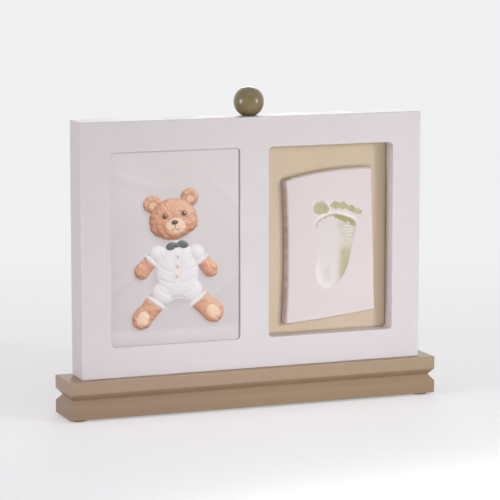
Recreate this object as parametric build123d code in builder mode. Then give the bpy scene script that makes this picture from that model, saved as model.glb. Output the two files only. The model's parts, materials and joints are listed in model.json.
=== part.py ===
"""Standing double frame: a white block with a photo window and a clay footprint window, on a grooved plinth.

Millimetres, +Z up, and the front looks along -Y. The origin is on the resting plane under the middle of the
plinth, so X = 0 and Y = 0 are the middle of the block's width and depth.
"""

import os
from math import atan2, cos, degrees, radians, sin

from build123d import *

# The block: its white face and the two windows
window_width = 98.0
window_height = 139.0
window_corner = 3.0
border = 22.0
mullion = 22.0
front_board = 12.0
rear_layer = 12.0
edge_ease = 0.8
window_ease = 0.4

# The photo pack behind the left window
photo_lip = 1.0
photo_side_cover = 2.0
photo_end_cover = 6.5
photo_paper = 0.3
photo_pocket_gap = 1.0
pocket_corner_share = 3
glazing_thickness = 0.5
backing_card = 2.0
spacer_gap = 1.5

# The rear layer: rails, back panel, and the board behind the right window
rail_setback = 0.5
centre_rail_setback = 1.0
back_panel_thickness = 3.0
back_panel_seat = 4.0
back_panel_gap = 0.5
backboard_thickness = 3.0
backboard_gap = 0.5

# The plinth: two boards whose chamfered edges meet in a groove, on four felt feet
plinth_board = 13.75
plinth_side_overhang = 11.0
plinth_face_overhang = 5.5
groove_depth = 4.0
groove_half_height = 4.7
foot_radius = 6.0
foot_height = 1.5
foot_inset = 9.0

# The screws that hold the block on the plinth, with countersunk heads
plinth_screw_radius = 2.0
plinth_screw_head_radius = 4.0
plinth_screw_bite = 11.0
plinth_screw_tip = 3.0
plinth_screw_end_gap = 0.5
plinth_screw_front_spread = 60.0
plinth_screw_rear_spread = 105.0
countersink_angle = 90.0

# The ball on top and its dowel
ball_radius = 11.0
ball_flat_radius = 4.5
dowel_radius = 3.0
dowel_in_ball = 9.0
dowel_in_block = 11.0
dowel_end_gap = 0.5
dowel_end_chamfer = 0.6

# The turn-buttons that hold the back panel, and their pan-head screws
button_sheet = 1.2
button_head_radius = 4.5
button_tip_radius = 3.0
button_arm = 14.0
button_lip_width = 3.6
button_lip_height = 2.0
button_edge_distance = 5.0
button_spread = 70.0
button_slack = 0.15
button_screw_radius = 1.5
button_screw_head_radius = 2.9
button_screw_head_rim = 0.9
button_screw_head_height = 1.7
button_screw_length = 10.0
button_screw_tip = 2.0
cross_slot_width = 0.7
cross_slot_length = 3.0
cross_slot_depth = 0.8

# The clay tile and its foam pads
tile_side_margin = 12.0
tile_end_margin = 16.25
tile_thickness = 5.0
tile_rise = 7.2
tile_top_narrowing = 3.6
tile_corner = 1.6
tile_cut_inset = 3.0
tile_cut_drop = 3.2
tile_back_inset = 0.9
tile_top_bulge = 2.3
tile_bottom_bulge = 0.6
tile_left_hollow = 1.9
tile_right_hollow = 0.3
tile_shift = 1.8
tile_drop = 6.0
pad_size = 14.0
pad_thickness = 1.0
pad_side_inset = 17.0
pad_end_inset = 18.25

# The footprint pressed into the tile
sole_width = 32.5
sole_length = 55.5
sole_depth = 1.0
sole_wall_inset = 1.6
sole_shift = 4.1
sole_drop = 4.3
big_toe_width = 11.5
big_toe_length = 10.2
big_toe_depth = 1.2
small_toe_width = 5.8
small_toe_length = 4.8
small_toe_depth = 0.9

# Clearances
screw_gap = 0.05
pivot_gap = 0.08

# The sole's outline from its middle, as shares of its width and length, from the arch round by the heel
sole_outline_shares = (
    (-0.36, 0.16),
    (-0.42, 0.00),
    (-0.49, -0.26),
    (-0.38, -0.44),
    (-0.16, -0.50),
    (0.10, -0.41),
    (0.30, -0.22),
    (0.41, 0.05),
    (0.50, 0.27),
    (0.46, 0.40),
    (0.21, 0.47),
    (-0.04, 0.50),
    (-0.28, 0.47),
    (-0.47, 0.39),
    (-0.44, 0.29),
)
big_toe_shares = (-0.37, 0.585)
small_toe_shares = ((-0.03, 0.62), (0.155, 0.607), (0.345, 0.567), (0.53, 0.515))

# The block's places
block_width = 2 * window_width + 2 * border + mullion
block_height = window_height + 2 * border
block_depth = front_board + rear_layer
front_y = -block_depth / 2
back_y = block_depth / 2
seam_y = front_y + front_board
window_offset = (window_width + mullion) / 2

# The plinth's places
plinth_length = block_width + 2 * plinth_side_overhang
plinth_depth = block_depth + 2 * plinth_face_overhang
plinth_bottom = foot_height
plinth_seam = plinth_bottom + plinth_board
block_bottom = plinth_seam + plinth_board
block_top = block_bottom + block_height
block_middle = block_bottom + block_height / 2
groove_taper = degrees(atan2(groove_depth, groove_half_height))

# The photo is larger than its window, and the rails behind it stand back from its pocket
photo_width = window_width + 2 * photo_side_cover
photo_height = window_height + 2 * photo_end_cover
pocket_width = photo_width + 2 * photo_pocket_gap
pocket_height = photo_height + 2 * photo_pocket_gap
pocket_corner = pocket_corner_share * photo_pocket_gap
rail_width = border - photo_end_cover - photo_pocket_gap - rail_setback
centre_rail_width = mullion - 2 * (photo_side_cover + photo_pocket_gap + centre_rail_setback)

# The places of what lies behind the windows
photo_face_y = front_y + photo_lip
print_y = photo_face_y + glazing_thickness
card_y = print_y + photo_paper
spacer_y = card_y + backing_card
chamber_width = (block_width - centre_rail_width) / 2 - rail_width
chamber_height = block_height - 2 * rail_width
backboard_x = (centre_rail_width + chamber_width) / 2
seat_width = block_width - 2 * rail_width + 2 * back_panel_seat
seat_height = chamber_height + 2 * back_panel_seat
panel_front_y = back_y - back_panel_thickness

# The sizes and places of the tile, its pads and its print
tile_width = window_width - 2 * tile_side_margin
tile_height = window_height - 2 * tile_end_margin
pad_spacing_x = tile_width - 2 * pad_side_inset
pad_spacing_z = tile_height - 2 * pad_end_inset
pad_front_y = seam_y - pad_thickness
tile_front_y = pad_front_y - tile_thickness
tile_x = window_offset + tile_shift
tile_z = block_middle - tile_drop
sole_x = tile_x + sole_shift
sole_z = tile_z - sole_drop

# The places of the screws and the turn-buttons
front_screws = [(side * plinth_screw_front_spread, (front_y + seam_y) / 2) for side in (-1, 1)]
rear_screws = [(side * plinth_screw_rear_spread, (seam_y + back_y) / 2) for side in (-1, 1)]
plinth_screw_places = front_screws + rear_screws
button_face_y = back_y + button_slack
button_screw_seat_y = button_face_y + button_sheet + button_slack
button_high_z = block_top - button_edge_distance
button_low_z = block_bottom + button_edge_distance
button_side_x = block_width / 2 - button_edge_distance

# Each turn-button's screw in X and Z, and its turn, seen from behind, from an arm that points up
buttons = {
    "turn_button_top_left": (-button_spread, button_high_z, 180),
    "turn_button_top_right": (button_spread, button_high_z, 180),
    "turn_button_bottom_left": (-button_spread, button_low_z, 0),
    "turn_button_bottom_right": (button_spread, button_low_z, 0),
    "turn_button_left": (-button_side_x, block_middle, 90),
    "turn_button_right": (button_side_x, block_middle, -90),
}


def facing_front(x, y, z):
    """A plane with its origin at a point, X to the right, Z up and its normal towards the front."""
    return Plane(origin=(x, y, z), x_dir=(1, 0, 0), z_dir=(0, -1, 0))


def facing_back(x, y, z, turn=0):
    """A plane with its origin at a point and its normal towards the back, turned about that normal."""
    angle = radians(turn)
    return Plane(origin=(x, y, z), x_dir=(-cos(angle), 0, sin(angle)), z_dir=(0, 1, 0))


# Profiles that are cut from more than one piece
with BuildSketch(facing_front(0, back_y, block_middle)) as panel_seat:
    Rectangle(seat_width, seat_height)

with BuildSketch(facing_front(0, back_y, 0)) as button_pilots:
    with Locations(*[(x, z) for x, z, _ in buttons.values()]):
        Circle(button_screw_radius + screw_gap)

with BuildSketch(Plane.XY.offset(block_bottom)) as screw_pilots:
    with Locations(*plinth_screw_places):
        Circle(plinth_screw_radius + screw_gap)

with BuildSketch(Plane.XY.offset(block_top)) as dowel_hole:
    Circle(dowel_radius + screw_gap)

# The front board: one routed panel with both windows, and a pocket behind the left one for the photo
with BuildPart() as front_panel:
    with BuildSketch(facing_front(0, seam_y, block_middle)):
        Rectangle(block_width, block_height)
    extrude(amount=front_board)
    front_face = front_panel.faces().sort_by(Axis.Y)[0]
    fillet(front_face.edges() + front_panel.edges().filter_by(Axis.Y), radius=edge_ease)
    with BuildSketch(facing_front(0, seam_y, block_middle)):
        with Locations((-window_offset, 0), (window_offset, 0)):
            RectangleRounded(window_width, window_height, window_corner)
    extrude(amount=front_board, mode=Mode.SUBTRACT)
    front_face = front_panel.faces().sort_by(Axis.Y)[0]
    fillet([edge for wire in front_face.inner_wires() for edge in wire.edges()], radius=window_ease)
    with BuildSketch(facing_front(-window_offset, seam_y, block_middle)):
        RectangleRounded(pocket_width, pocket_height, pocket_corner)
    extrude(amount=front_board - photo_lip, mode=Mode.SUBTRACT)
    extrude(screw_pilots.sketch, amount=plinth_screw_bite, mode=Mode.SUBTRACT)
    extrude(dowel_hole.sketch, amount=-dowel_in_block, mode=Mode.SUBTRACT)

# The rear layer starts as one board with the front board's outline, and the rails are cut from it
with BuildPart() as rear_board:
    with BuildSketch(facing_back(0, seam_y, block_middle)):
        Rectangle(block_width, block_height)
    extrude(amount=rear_layer)
    rear_face = rear_board.faces().sort_by(Axis.Y)[-1]
    fillet(rear_face.edges() + rear_board.edges().filter_by(Axis.Y), radius=edge_ease)


def cut_rail(middle_x, middle_z, width, height):
    """One rail of the rear layer, with its part of the back panel's seat and its screw and dowel holes."""
    with BuildPart() as rail:
        add(rear_board.part)
        with Locations((middle_x, (seam_y + back_y) / 2, middle_z)):
            Box(width, rear_layer, height, mode=Mode.INTERSECT)
        extrude(panel_seat.sketch, amount=back_panel_thickness, mode=Mode.SUBTRACT)
        extrude(button_pilots.sketch, amount=button_screw_length, mode=Mode.SUBTRACT)
        extrude(screw_pilots.sketch, amount=plinth_screw_bite, mode=Mode.SUBTRACT)
        extrude(dowel_hole.sketch, amount=-dowel_in_block, mode=Mode.SUBTRACT)
    return rail


side_rail_x = (block_width - rail_width) / 2
end_rail_rise = (block_height - rail_width) / 2
rear_rail_top = cut_rail(0, block_middle + end_rail_rise, block_width, rail_width)
rear_rail_bottom = cut_rail(0, block_middle - end_rail_rise, block_width, rail_width)
rear_rail_left = cut_rail(-side_rail_x, block_middle, rail_width, chamber_height)
rear_rail_right = cut_rail(side_rail_x, block_middle, rail_width, chamber_height)
centre_rail = cut_rail(0, block_middle, centre_rail_width, chamber_height)

# The back panel lies in its seat across all the rails
with BuildPart() as back_panel:
    with BuildSketch(facing_back(0, panel_front_y, block_middle)):
        Rectangle(seat_width - 2 * back_panel_gap, seat_height - 2 * back_panel_gap)
    extrude(amount=back_panel_thickness)


def photo_layer(y, thickness, margin):
    """A flat layer of the photo pack, larger than the photo by a margin, with its front at y."""
    with BuildPart() as layer:
        with BuildSketch(facing_back(-window_offset, y, block_middle)):
            Rectangle(photo_width + margin, photo_height + margin)
        extrude(amount=thickness)
    return layer


# The photo pack, front to back: the spacer fills what is left, so the back panel holds the pack forward
photo_glazing = photo_layer(photo_face_y, glazing_thickness, 0)
photo_print = photo_layer(print_y, photo_paper, 0)
photo_backing_card = photo_layer(card_y, backing_card, 0)
photo_spacer = photo_layer(spacer_y, panel_front_y - spacer_y, -spacer_gap)

# The board behind the right window, and the foam pads that carry the tile on it
with BuildPart() as print_backboard:
    with BuildSketch(facing_back(backboard_x, seam_y, block_middle)):
        Rectangle(chamber_width - 2 * backboard_gap, chamber_height - 2 * backboard_gap)
    extrude(amount=backboard_thickness)

with BuildPart() as adhesive_pads:
    with BuildSketch(facing_front(tile_x, seam_y, tile_z)):
        with GridLocations(pad_spacing_x, pad_spacing_z, 2, 2):
            Rectangle(pad_size, pad_size)
    extrude(amount=pad_thickness)

# The clay tile: rolled out and trimmed by hand, higher on its right, with uneven sides cut at a slant
half_width = tile_width / 2
half_height = tile_height / 2
half_rise = tile_rise / 2
half_narrowing = tile_top_narrowing / 2
top_left = (-half_width, half_height - half_rise)
top_right = (half_width - tile_top_narrowing, half_height + half_rise)
bottom_right = (half_width, half_rise - half_height)
bottom_left = (-half_width, -half_height - half_rise)
sole_points = [(share_x * sole_width, share_z * sole_length) for share_x, share_z in sole_outline_shares]
inset_x = (sole_width - 2 * sole_wall_inset) / sole_width
inset_z = (sole_length - 2 * sole_wall_inset) / sole_length
big_toe = scale(Sphere(1), by=(big_toe_width / 2, big_toe_depth, big_toe_length / 2))
small_toe = scale(Sphere(1), by=(small_toe_width / 2, small_toe_depth, small_toe_length / 2))

# What the foot left: the sole as a shallow loft, with sloping walls, and a dent for each toe
with BuildPart() as footprint:
    with BuildSketch(facing_front(sole_x, tile_front_y, sole_z)):
        with BuildLine():
            Spline(*sole_points, periodic=True)
        make_face()
    with BuildSketch(facing_front(sole_x, tile_front_y + sole_depth, sole_z)):
        with BuildLine():
            Spline(*[(x * inset_x, z * inset_z) for x, z in sole_points], periodic=True)
        make_face()
    loft()
    toe_x, toe_z = big_toe_shares
    with Locations((sole_x + toe_x * sole_width, tile_front_y, sole_z + toe_z * sole_length)):
        add(big_toe)
    for toe_x, toe_z in small_toe_shares:
        with Locations((sole_x + toe_x * sole_width, tile_front_y, sole_z + toe_z * sole_length)):
            add(small_toe)


def tile_outline(y, inset):
    """The tile's outline at a depth, moved in all round, with its corners eased."""
    with BuildSketch(facing_front(tile_x, y, tile_z)) as outline:
        with BuildLine():
            ThreePointArc(top_left, (-half_narrowing, half_height + tile_top_bulge), top_right)
            ThreePointArc(top_right, (half_width - half_narrowing - tile_right_hollow, half_rise), bottom_right)
            ThreePointArc(bottom_right, (0, -half_height - tile_bottom_bulge), bottom_left)
            ThreePointArc(bottom_left, (tile_left_hollow - half_width, -half_rise), top_left)
        make_face()
        if inset:
            offset(amount=-inset, kind=Kind.INTERSECTION)
        fillet(outline.vertices(), radius=tile_corner)
    return outline.sketch


# It is widest at the foot of its slanted edge, and drawn in a little behind that
with BuildPart() as clay_tile:
    loft(
        [
            tile_outline(pad_front_y, tile_back_inset),
            tile_outline(tile_front_y + tile_cut_drop, 0),
            tile_outline(tile_front_y, tile_cut_inset),
        ],
        ruled=True,
    )
    add(footprint.part, mode=Mode.SUBTRACT)


def make_plinth_board(outer_z, towards_seam):
    """A plinth board from its outer face to the seam, with a chamfer round the seam and eased outer edges."""
    with BuildPart() as board:
        with BuildSketch(Plane(origin=(0, 0, outer_z), x_dir=(1, 0, 0), z_dir=(0, 0, towards_seam))):
            Rectangle(plinth_length, plinth_depth)
        extrude(amount=plinth_board - groove_half_height)
        inner_face = board.faces().sort_by(Axis((0, 0, 0), (0, 0, towards_seam)))[-1]
        extrude(inner_face, amount=groove_half_height, taper=groove_taper)
        outer_face = board.faces().sort_by(Axis((0, 0, 0), (0, 0, towards_seam)))[0]
        fillet(outer_face.edges() + board.edges().filter_by(Axis.Z), radius=edge_ease)
    return board


with BuildPart() as plinth_lower_board:
    add(make_plinth_board(plinth_bottom, 1).part)
    with Locations(*[Location((x, y, plinth_bottom), (180, 0, 0)) for x, y in plinth_screw_places]):
        CounterSinkHole(
            radius=plinth_screw_radius + screw_gap,
            counter_sink_radius=plinth_screw_head_radius + screw_gap,
            depth=plinth_board,
            counter_sink_angle=countersink_angle,
        )

with BuildPart() as plinth_upper_board:
    add(make_plinth_board(block_bottom, -1).part)
    extrude(screw_pilots.sketch, amount=-plinth_board, mode=Mode.SUBTRACT)

with BuildPart() as foot_pads:
    with BuildSketch():
        with GridLocations(plinth_length - 2 * foot_inset, plinth_depth - 2 * foot_inset, 2, 2):
            Circle(foot_radius)
    extrude(amount=foot_height)


def cut_cross_slot(face):
    """The sketch of a cross slot on the plane of a screw's head."""
    with BuildSketch(face) as slot:
        Rectangle(cross_slot_length, cross_slot_width)
        Rectangle(cross_slot_width, cross_slot_length)
    return slot.sketch


# The screws that come up through the plinth into the block
screw_neck_z = plinth_bottom + plinth_screw_head_radius - plinth_screw_radius
screw_end_z = block_bottom + plinth_screw_bite - plinth_screw_end_gap
with BuildPart() as plinth_screws:
    for x, y in plinth_screw_places:
        with BuildSketch(facing_front(x, y, 0)):
            with BuildLine():
                Polyline(
                    (0, plinth_bottom),
                    (plinth_screw_head_radius, plinth_bottom),
                    (plinth_screw_radius, screw_neck_z),
                    (plinth_screw_radius, screw_end_z - plinth_screw_tip),
                    (0, screw_end_z),
                    close=True,
                )
            make_face()
        revolve(axis=Axis((x, y, 0), (0, 0, 1)))
        slot = cut_cross_slot(Plane.XY.offset(plinth_bottom).move(Location((x, y, 0))))
        extrude(slot, amount=cross_slot_depth, mode=Mode.SUBTRACT)

# The ball, with a small flat to sit on and a blind hole for its dowel
ball_drop = (ball_radius**2 - ball_flat_radius**2) ** 0.5
with BuildPart() as top_ball:
    with BuildSketch(facing_front(0, 0, block_top + ball_drop)):
        with BuildLine():
            Line((0, ball_radius), (0, -ball_drop))
            Line((0, -ball_drop), (ball_flat_radius, -ball_drop))
            ThreePointArc((ball_flat_radius, -ball_drop), (ball_radius, 0), (0, ball_radius))
        make_face()
    revolve(axis=Axis.Z)
    extrude(dowel_hole.sketch, amount=dowel_in_ball, mode=Mode.SUBTRACT)

with BuildPart() as ball_dowel:
    with BuildSketch(Plane.XY.offset(block_top - dowel_in_block + dowel_end_gap)):
        Circle(dowel_radius)
    extrude(amount=dowel_in_block + dowel_in_ball - 2 * dowel_end_gap)
    chamfer(ball_dowel.edges().filter_by(GeomType.CIRCLE), length=dowel_end_chamfer)


def make_turn_button(x, z, turn):
    """A stamped steel turn-button: a round eye, an arm that reaches over the panel and a raised thumb lip."""
    face = facing_back(x, button_face_y, z, turn)
    lip_reach = (button_tip_radius**2 - (button_lip_width / 2) ** 2) ** 0.5 - button_sheet / 2
    with BuildPart() as button:
        with BuildSketch(face):
            Circle(button_head_radius)
            with Locations((0, button_arm)):
                Circle(button_tip_radius)
            make_hull()
            Circle(button_screw_radius + pivot_gap, mode=Mode.SUBTRACT)
        extrude(amount=button_sheet)
        with BuildSketch(face.offset(button_sheet)):
            with Locations((0, button_arm + lip_reach)):
                Rectangle(button_lip_width, button_sheet)
        extrude(amount=button_lip_height)
    return button


# The pan-head screws that the buttons turn on
with BuildPart() as turn_button_screws:
    for x, z, _ in buttons.values():
        with BuildSketch(Plane(origin=(x, button_screw_seat_y, z), x_dir=(1, 0, 0), z_dir=(0, 0, 1))):
            with BuildLine():
                head_top = (0, button_screw_head_height)
                head_rim = (button_screw_head_radius, button_screw_head_rim)
                Polyline(
                    head_rim,
                    (button_screw_head_radius, 0),
                    (button_screw_radius, 0),
                    (button_screw_radius, button_screw_tip - button_screw_length),
                    (0, -button_screw_length),
                    head_top,
                )
                RadiusArc(
                    head_top,
                    head_rim,
                    (button_screw_head_radius**2 + (button_screw_head_height - button_screw_head_rim) ** 2)
                    / (2 * (button_screw_head_height - button_screw_head_rim)),
                )
            make_face()
        revolve(axis=Axis((x, 0, z), (0, 1, 0)))
        slot = cut_cross_slot(facing_front(x, button_screw_seat_y + button_screw_head_height, z))
        extrude(slot, amount=cross_slot_depth, mode=Mode.SUBTRACT)

pieces = {
    "front_panel": front_panel,
    "rear_rail_top": rear_rail_top,
    "rear_rail_bottom": rear_rail_bottom,
    "rear_rail_left": rear_rail_left,
    "rear_rail_right": rear_rail_right,
    "centre_rail": centre_rail,
    "back_panel": back_panel,
    "photo_glazing": photo_glazing,
    "photo_print": photo_print,
    "photo_backing_card": photo_backing_card,
    "photo_spacer": photo_spacer,
    "print_backboard": print_backboard,
    "adhesive_pads": adhesive_pads,
    "clay_tile": clay_tile,
    "plinth_lower_board": plinth_lower_board,
    "plinth_upper_board": plinth_upper_board,
    "plinth_screws": plinth_screws,
    "foot_pads": foot_pads,
    "top_ball": top_ball,
    "ball_dowel": ball_dowel,
    "turn_button_screws": turn_button_screws,
}
for name, (x, z, turn) in buttons.items():
    pieces[name] = make_turn_button(x, z, turn)

os.makedirs("parts", exist_ok=True)
for name, piece in pieces.items():
    piece.part.label = name
    export_step(piece.part, f"parts/{name}.step")
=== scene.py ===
"""Finishes for the standing double frame, and its modelled pieces: photo, clay tile, card, screws and feet.

Metres, in the frame's own axes: +Z up, the front looks along -Y, and the plinth stands on Z = 0.
"""

import json
import math

import bpy
import numpy as np
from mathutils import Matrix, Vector


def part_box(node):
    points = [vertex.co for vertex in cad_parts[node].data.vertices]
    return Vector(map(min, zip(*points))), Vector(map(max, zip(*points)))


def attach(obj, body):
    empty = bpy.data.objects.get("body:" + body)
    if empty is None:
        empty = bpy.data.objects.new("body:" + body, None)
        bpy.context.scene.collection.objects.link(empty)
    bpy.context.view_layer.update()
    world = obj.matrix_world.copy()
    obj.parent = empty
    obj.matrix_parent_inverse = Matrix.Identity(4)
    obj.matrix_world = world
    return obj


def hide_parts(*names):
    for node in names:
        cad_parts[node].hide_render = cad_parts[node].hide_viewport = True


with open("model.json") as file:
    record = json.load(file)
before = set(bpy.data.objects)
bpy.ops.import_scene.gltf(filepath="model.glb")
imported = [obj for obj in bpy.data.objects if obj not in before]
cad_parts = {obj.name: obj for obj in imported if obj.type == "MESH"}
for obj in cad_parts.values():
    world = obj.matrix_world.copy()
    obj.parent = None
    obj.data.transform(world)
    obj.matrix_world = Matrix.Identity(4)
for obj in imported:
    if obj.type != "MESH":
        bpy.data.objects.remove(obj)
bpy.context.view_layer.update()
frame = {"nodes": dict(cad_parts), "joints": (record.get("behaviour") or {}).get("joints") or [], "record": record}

mm = 0.001
nodes = frame["nodes"]

# The camera: the height and side from which the frame is seen, and how much of the picture it fills
camera_place = Vector((-0.628, -1.619, 0.366))
camera_target = Vector((0.001, 0.0, 0.114))
camera_lens = 174.0
camera_clip = (0.05, 30.0)

# Lamps: azimuth and elevation round the frame in degrees; distance, width and height in metres; power in
# watts; colour; and whether the gloss shows them
lamps = {
    "right_soft_box": (43, 12, 1.25, 0.18, 0.55, 4.75, (1.0, 0.99, 0.975), True),
    "left_soft_box": (-82, 9, 1.25, 0.30, 0.55, 4.9, (1.0, 0.890, 0.950), True),
    "top_soft_box": (10, 72, 1.30, 0.80, 0.60, 0.8, (1.0, 0.99, 0.97), True),
    "low_soft_box": (4, -15, 0.36, 0.40, 0.03, 0.46, (1.0, 0.985, 0.99), False),
    "back_soft_box": (158, 24, 1.40, 0.60, 0.60, 3.2, (1.0, 0.98, 0.975), True),
}
world_colour = (0.93, 0.93, 0.945)
world_strength = 0.40

# The floor and the pale room that the camera and the gloss see
floor_half = 3.0
floor_colour = (0.66, 0.66, 0.665)
floor_cloud_colour = (0.63, 0.63, 0.635)
room_colour = (0.875, 0.875, 0.89)
floor_lift = 0.44
floor_fade_start = 0.32
floor_fade_end = 0.85

# Finishes, as linear colours
white_paint_colour = (0.695, 0.652, 0.670)
white_rub_colour = (0.790, 0.760, 0.770)
hairline_colour = (0.330, 0.300, 0.310)
hairline_half_width = 0.14 * mm
taupe_colour = (0.385, 0.268, 0.194)
olive_drift_colour = (0.366, 0.276, 0.172)
taupe_rub_colour = (0.430, 0.320, 0.210)

# Painted shade in the plinth's groove and towards its foot: colour, and each band's height, reach and share
painted_shade_colour = (0.200, 0.105, 0.045)
plinth_painted_shade_bands = ((16.8 * mm, 2.6 * mm, 0.42), (5.0 * mm, 17.0 * mm, 0.42))

# The ball, the clay's bloom and pits, and the board behind the clay print
ball_colour = (0.205, 0.156, 0.056)
ball_deep_colour = (0.158, 0.122, 0.040)
chalk_bloom_colour = (0.860, 0.800, 0.800)
clay_pit_colour = (0.600, 0.540, 0.520)
board_colour = (0.692, 0.562, 0.455)
board_drift_colour = (0.672, 0.574, 0.412)
board_fleck_colour = (0.600, 0.480, 0.350)

# Painted shade against the walls of an opening, soft and as a thin line: their colours, and from where to where
# each reaches
corner_shade_colour = (0.330, 0.280, 0.150)
corner_shade_reach = (0.0, 9.0 * mm)
corner_shade_line_colour = (0.170, 0.125, 0.090)
corner_shade_line_reach = (0.3 * mm, 1.2 * mm)

# An opening's middle and half size in X and Z, the shares of its soft and thin painted shades, and how tight
# its top painted shade is
print_opening = ((60.0 * mm, 120.5 * mm), (49.0 * mm, 69.5 * mm), 0.64, 0.80, 2.6)
photo_opening = ((-60.0 * mm, 120.5 * mm), (49.0 * mm, 69.5 * mm), 0.0, 0.38, 1.0)

# Finishes that show from behind and below
foam_colour = (0.800, 0.790, 0.760)
foam_pore_colour = (0.600, 0.590, 0.560)
beech_colour = (0.620, 0.420, 0.250)
beech_fleck_colour = (0.440, 0.270, 0.140)
zinc_colour = (0.620, 0.630, 0.640)
nickel_colour = (0.640, 0.610, 0.560)

# The fibre finishes: material name, base and dark colour, the fibres' stretch and scale, roughness, and the
# strength of the relief
fibre_finishes = {
    "bare_fibreboard": (
        "raw_fibreboard", (0.480, 0.355, 0.225), (0.360, 0.250, 0.145), (1.0, 2.5, 1.0), 700.0, 0.85, 0.30),
    "hardboard": (
        "back_hardboard", (0.300, 0.190, 0.105), (0.185, 0.110, 0.058), (0.5, 1.0, 1.0), 900.0, 0.62, 0.28),
    "grey_card": (
        "grey_card_board", (0.420, 0.400, 0.370), (0.300, 0.280, 0.250), (0.7, 1.0, 1.0), 1100.0, 0.88, 0.2),
    "corrugated_card": (
        "kraft_card", (0.430, 0.280, 0.150), (0.320, 0.200, 0.100), (1.0, 1.0, 0.4), 900.0, 0.85, 0.2),
    "felt": (
        "brown_felt", (0.235, 0.185, 0.135), (0.330, 0.275, 0.215), (1.0, 1.0, 1.0), 1800.0, 0.95, 0.6),
}


class Wire:
    """An output in a node tree. Arithmetic on it adds Math nodes to the tree."""

    def __init__(self, tree, socket):
        self.tree = tree
        self.socket = socket

    def __add__(self, other):
        return calculate("ADD", self, other)

    def __sub__(self, other):
        return calculate("SUBTRACT", self, other)

    def __rsub__(self, other):
        return calculate("SUBTRACT", other, self)

    def __mul__(self, other):
        return calculate("MULTIPLY", self, other)

    def __truediv__(self, other):
        return calculate("DIVIDE", self, other)

    def __neg__(self):
        return calculate("MULTIPLY", self, -1.0)

    def __abs__(self):
        return calculate("ABSOLUTE", self)


def tree_of(*values):
    """The tree of the first wire among several values."""
    return next(value.tree for value in values if isinstance(value, Wire))


def connect(value, socket):
    """Feeds an input socket with a wire, or gives it a plain value."""
    if isinstance(value, Wire):
        value.tree.links.new(value.socket, socket)
    else:
        socket.default_value = value


def add_node(tree, kind, inputs=None, **settings):
    """A new node. Its inputs are wires or plain values, and its settings are attributes."""
    made = tree.nodes.new(kind)
    for name, value in settings.items():
        setattr(made, name, value)
    for name, value in (inputs or {}).items():
        connect(value, made.inputs[name])
    return made


def wire_from(tree, kind, inputs=None, output=0, **settings):
    """The wire from an output of a new node, the first unless another is named."""
    return Wire(tree, add_node(tree, kind, inputs, **settings).outputs[output])


def calculate(operation, *values, kind="ShaderNodeMath"):
    """The result of a Math node."""
    return wire_from(tree_of(*values), kind, dict(enumerate(values)), operation=operation)


def calculate_vector(operation, *values):
    """The vector from a Vector Math node."""
    return calculate(operation, *values, kind="ShaderNodeVectorMath")


def split(vector):
    """The X, Y and Z of a vector."""
    made = add_node(vector.tree, "ShaderNodeSeparateXYZ", {0: vector})
    return [Wire(vector.tree, socket) for socket in made.outputs]


def remap(value, low, high, to_low=0.0, to_high=1.0):
    """A value moved from one range to another and kept inside it."""
    inputs = {"Value": value, "From Min": low, "From Max": high, "To Min": to_low, "To Max": to_high}
    return wire_from(value.tree, "ShaderNodeMapRange", inputs)


def noise(place, scale, **others):
    """Smooth noise from 0 to 1 over a place."""
    return wire_from(place.tree, "ShaderNodeTexNoise", {"Vector": place, "Scale": scale, **others})


def cells(place, scale):
    """The distance to the nearest of many scattered points."""
    return wire_from(place.tree, "ShaderNodeTexVoronoi", {"Vector": place, "Scale": scale})


def blend_colours(share, first, second):
    """A colour between two others."""
    made = add_node(share.tree, "ShaderNodeMix", {0: share}, data_type="RGBA")
    for index, value in ((6, first), (7, second)):
        connect(value if isinstance(value, Wire) else (*value, 1.0), made.inputs[index])
    return Wire(share.tree, made.outputs[2])


def new_tree(kind, name, inputs, outputs):
    """An empty node group, its inputs as wires, and its output sockets. Each socket has a name and a kind."""
    tree = bpy.data.node_groups.new(name, kind)
    for in_out, sockets in (("INPUT", inputs), ("OUTPUT", outputs)):
        for socket_name, socket_kind in sockets.items():
            tree.interface.new_socket(socket_name, in_out=in_out, socket_type=f"NodeSocket{socket_kind}")
    given = {socket.name: Wire(tree, socket) for socket in tree.nodes.new("NodeGroupInput").outputs}
    return tree, given, tree.nodes.new("NodeGroupOutput").inputs


def new_shader_group(name, vectors, floats, outputs):
    """A shader node group that puts out numbers."""
    inputs = {**dict.fromkeys(vectors, "Vector"), **dict.fromkeys(floats, "Float")}
    return new_tree("ShaderNodeTree", name, inputs, dict.fromkeys(outputs, "Float"))


def make_mottle_group():
    """Soft uneven patches, as in paint, clay or card."""
    group, given, result = new_shader_group("mottle", ["Place"], ["Scale", "Low", "High"], ["Value"])
    patches = noise(given["Place"], given["Scale"], Detail=3.0, Roughness=0.55)
    connect(remap(patches, 0.3, 0.7, given["Low"], given["High"]), result["Value"])
    return group


def make_grain_group():
    """The fine relief of a sprayed or pressed surface: a wide swell under small pimples."""
    floats = ["Fine Scale", "Coarse Scale", "Coarse Share"]
    group, given, result = new_shader_group("grain", ["Place"], floats, ["Height"])
    fine = noise(given["Place"], given["Fine Scale"], Detail=2.0)
    coarse = noise(given["Place"], given["Coarse Scale"], Detail=1.0)
    connect(fine + coarse * given["Coarse Share"], result["Height"])
    return group


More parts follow.
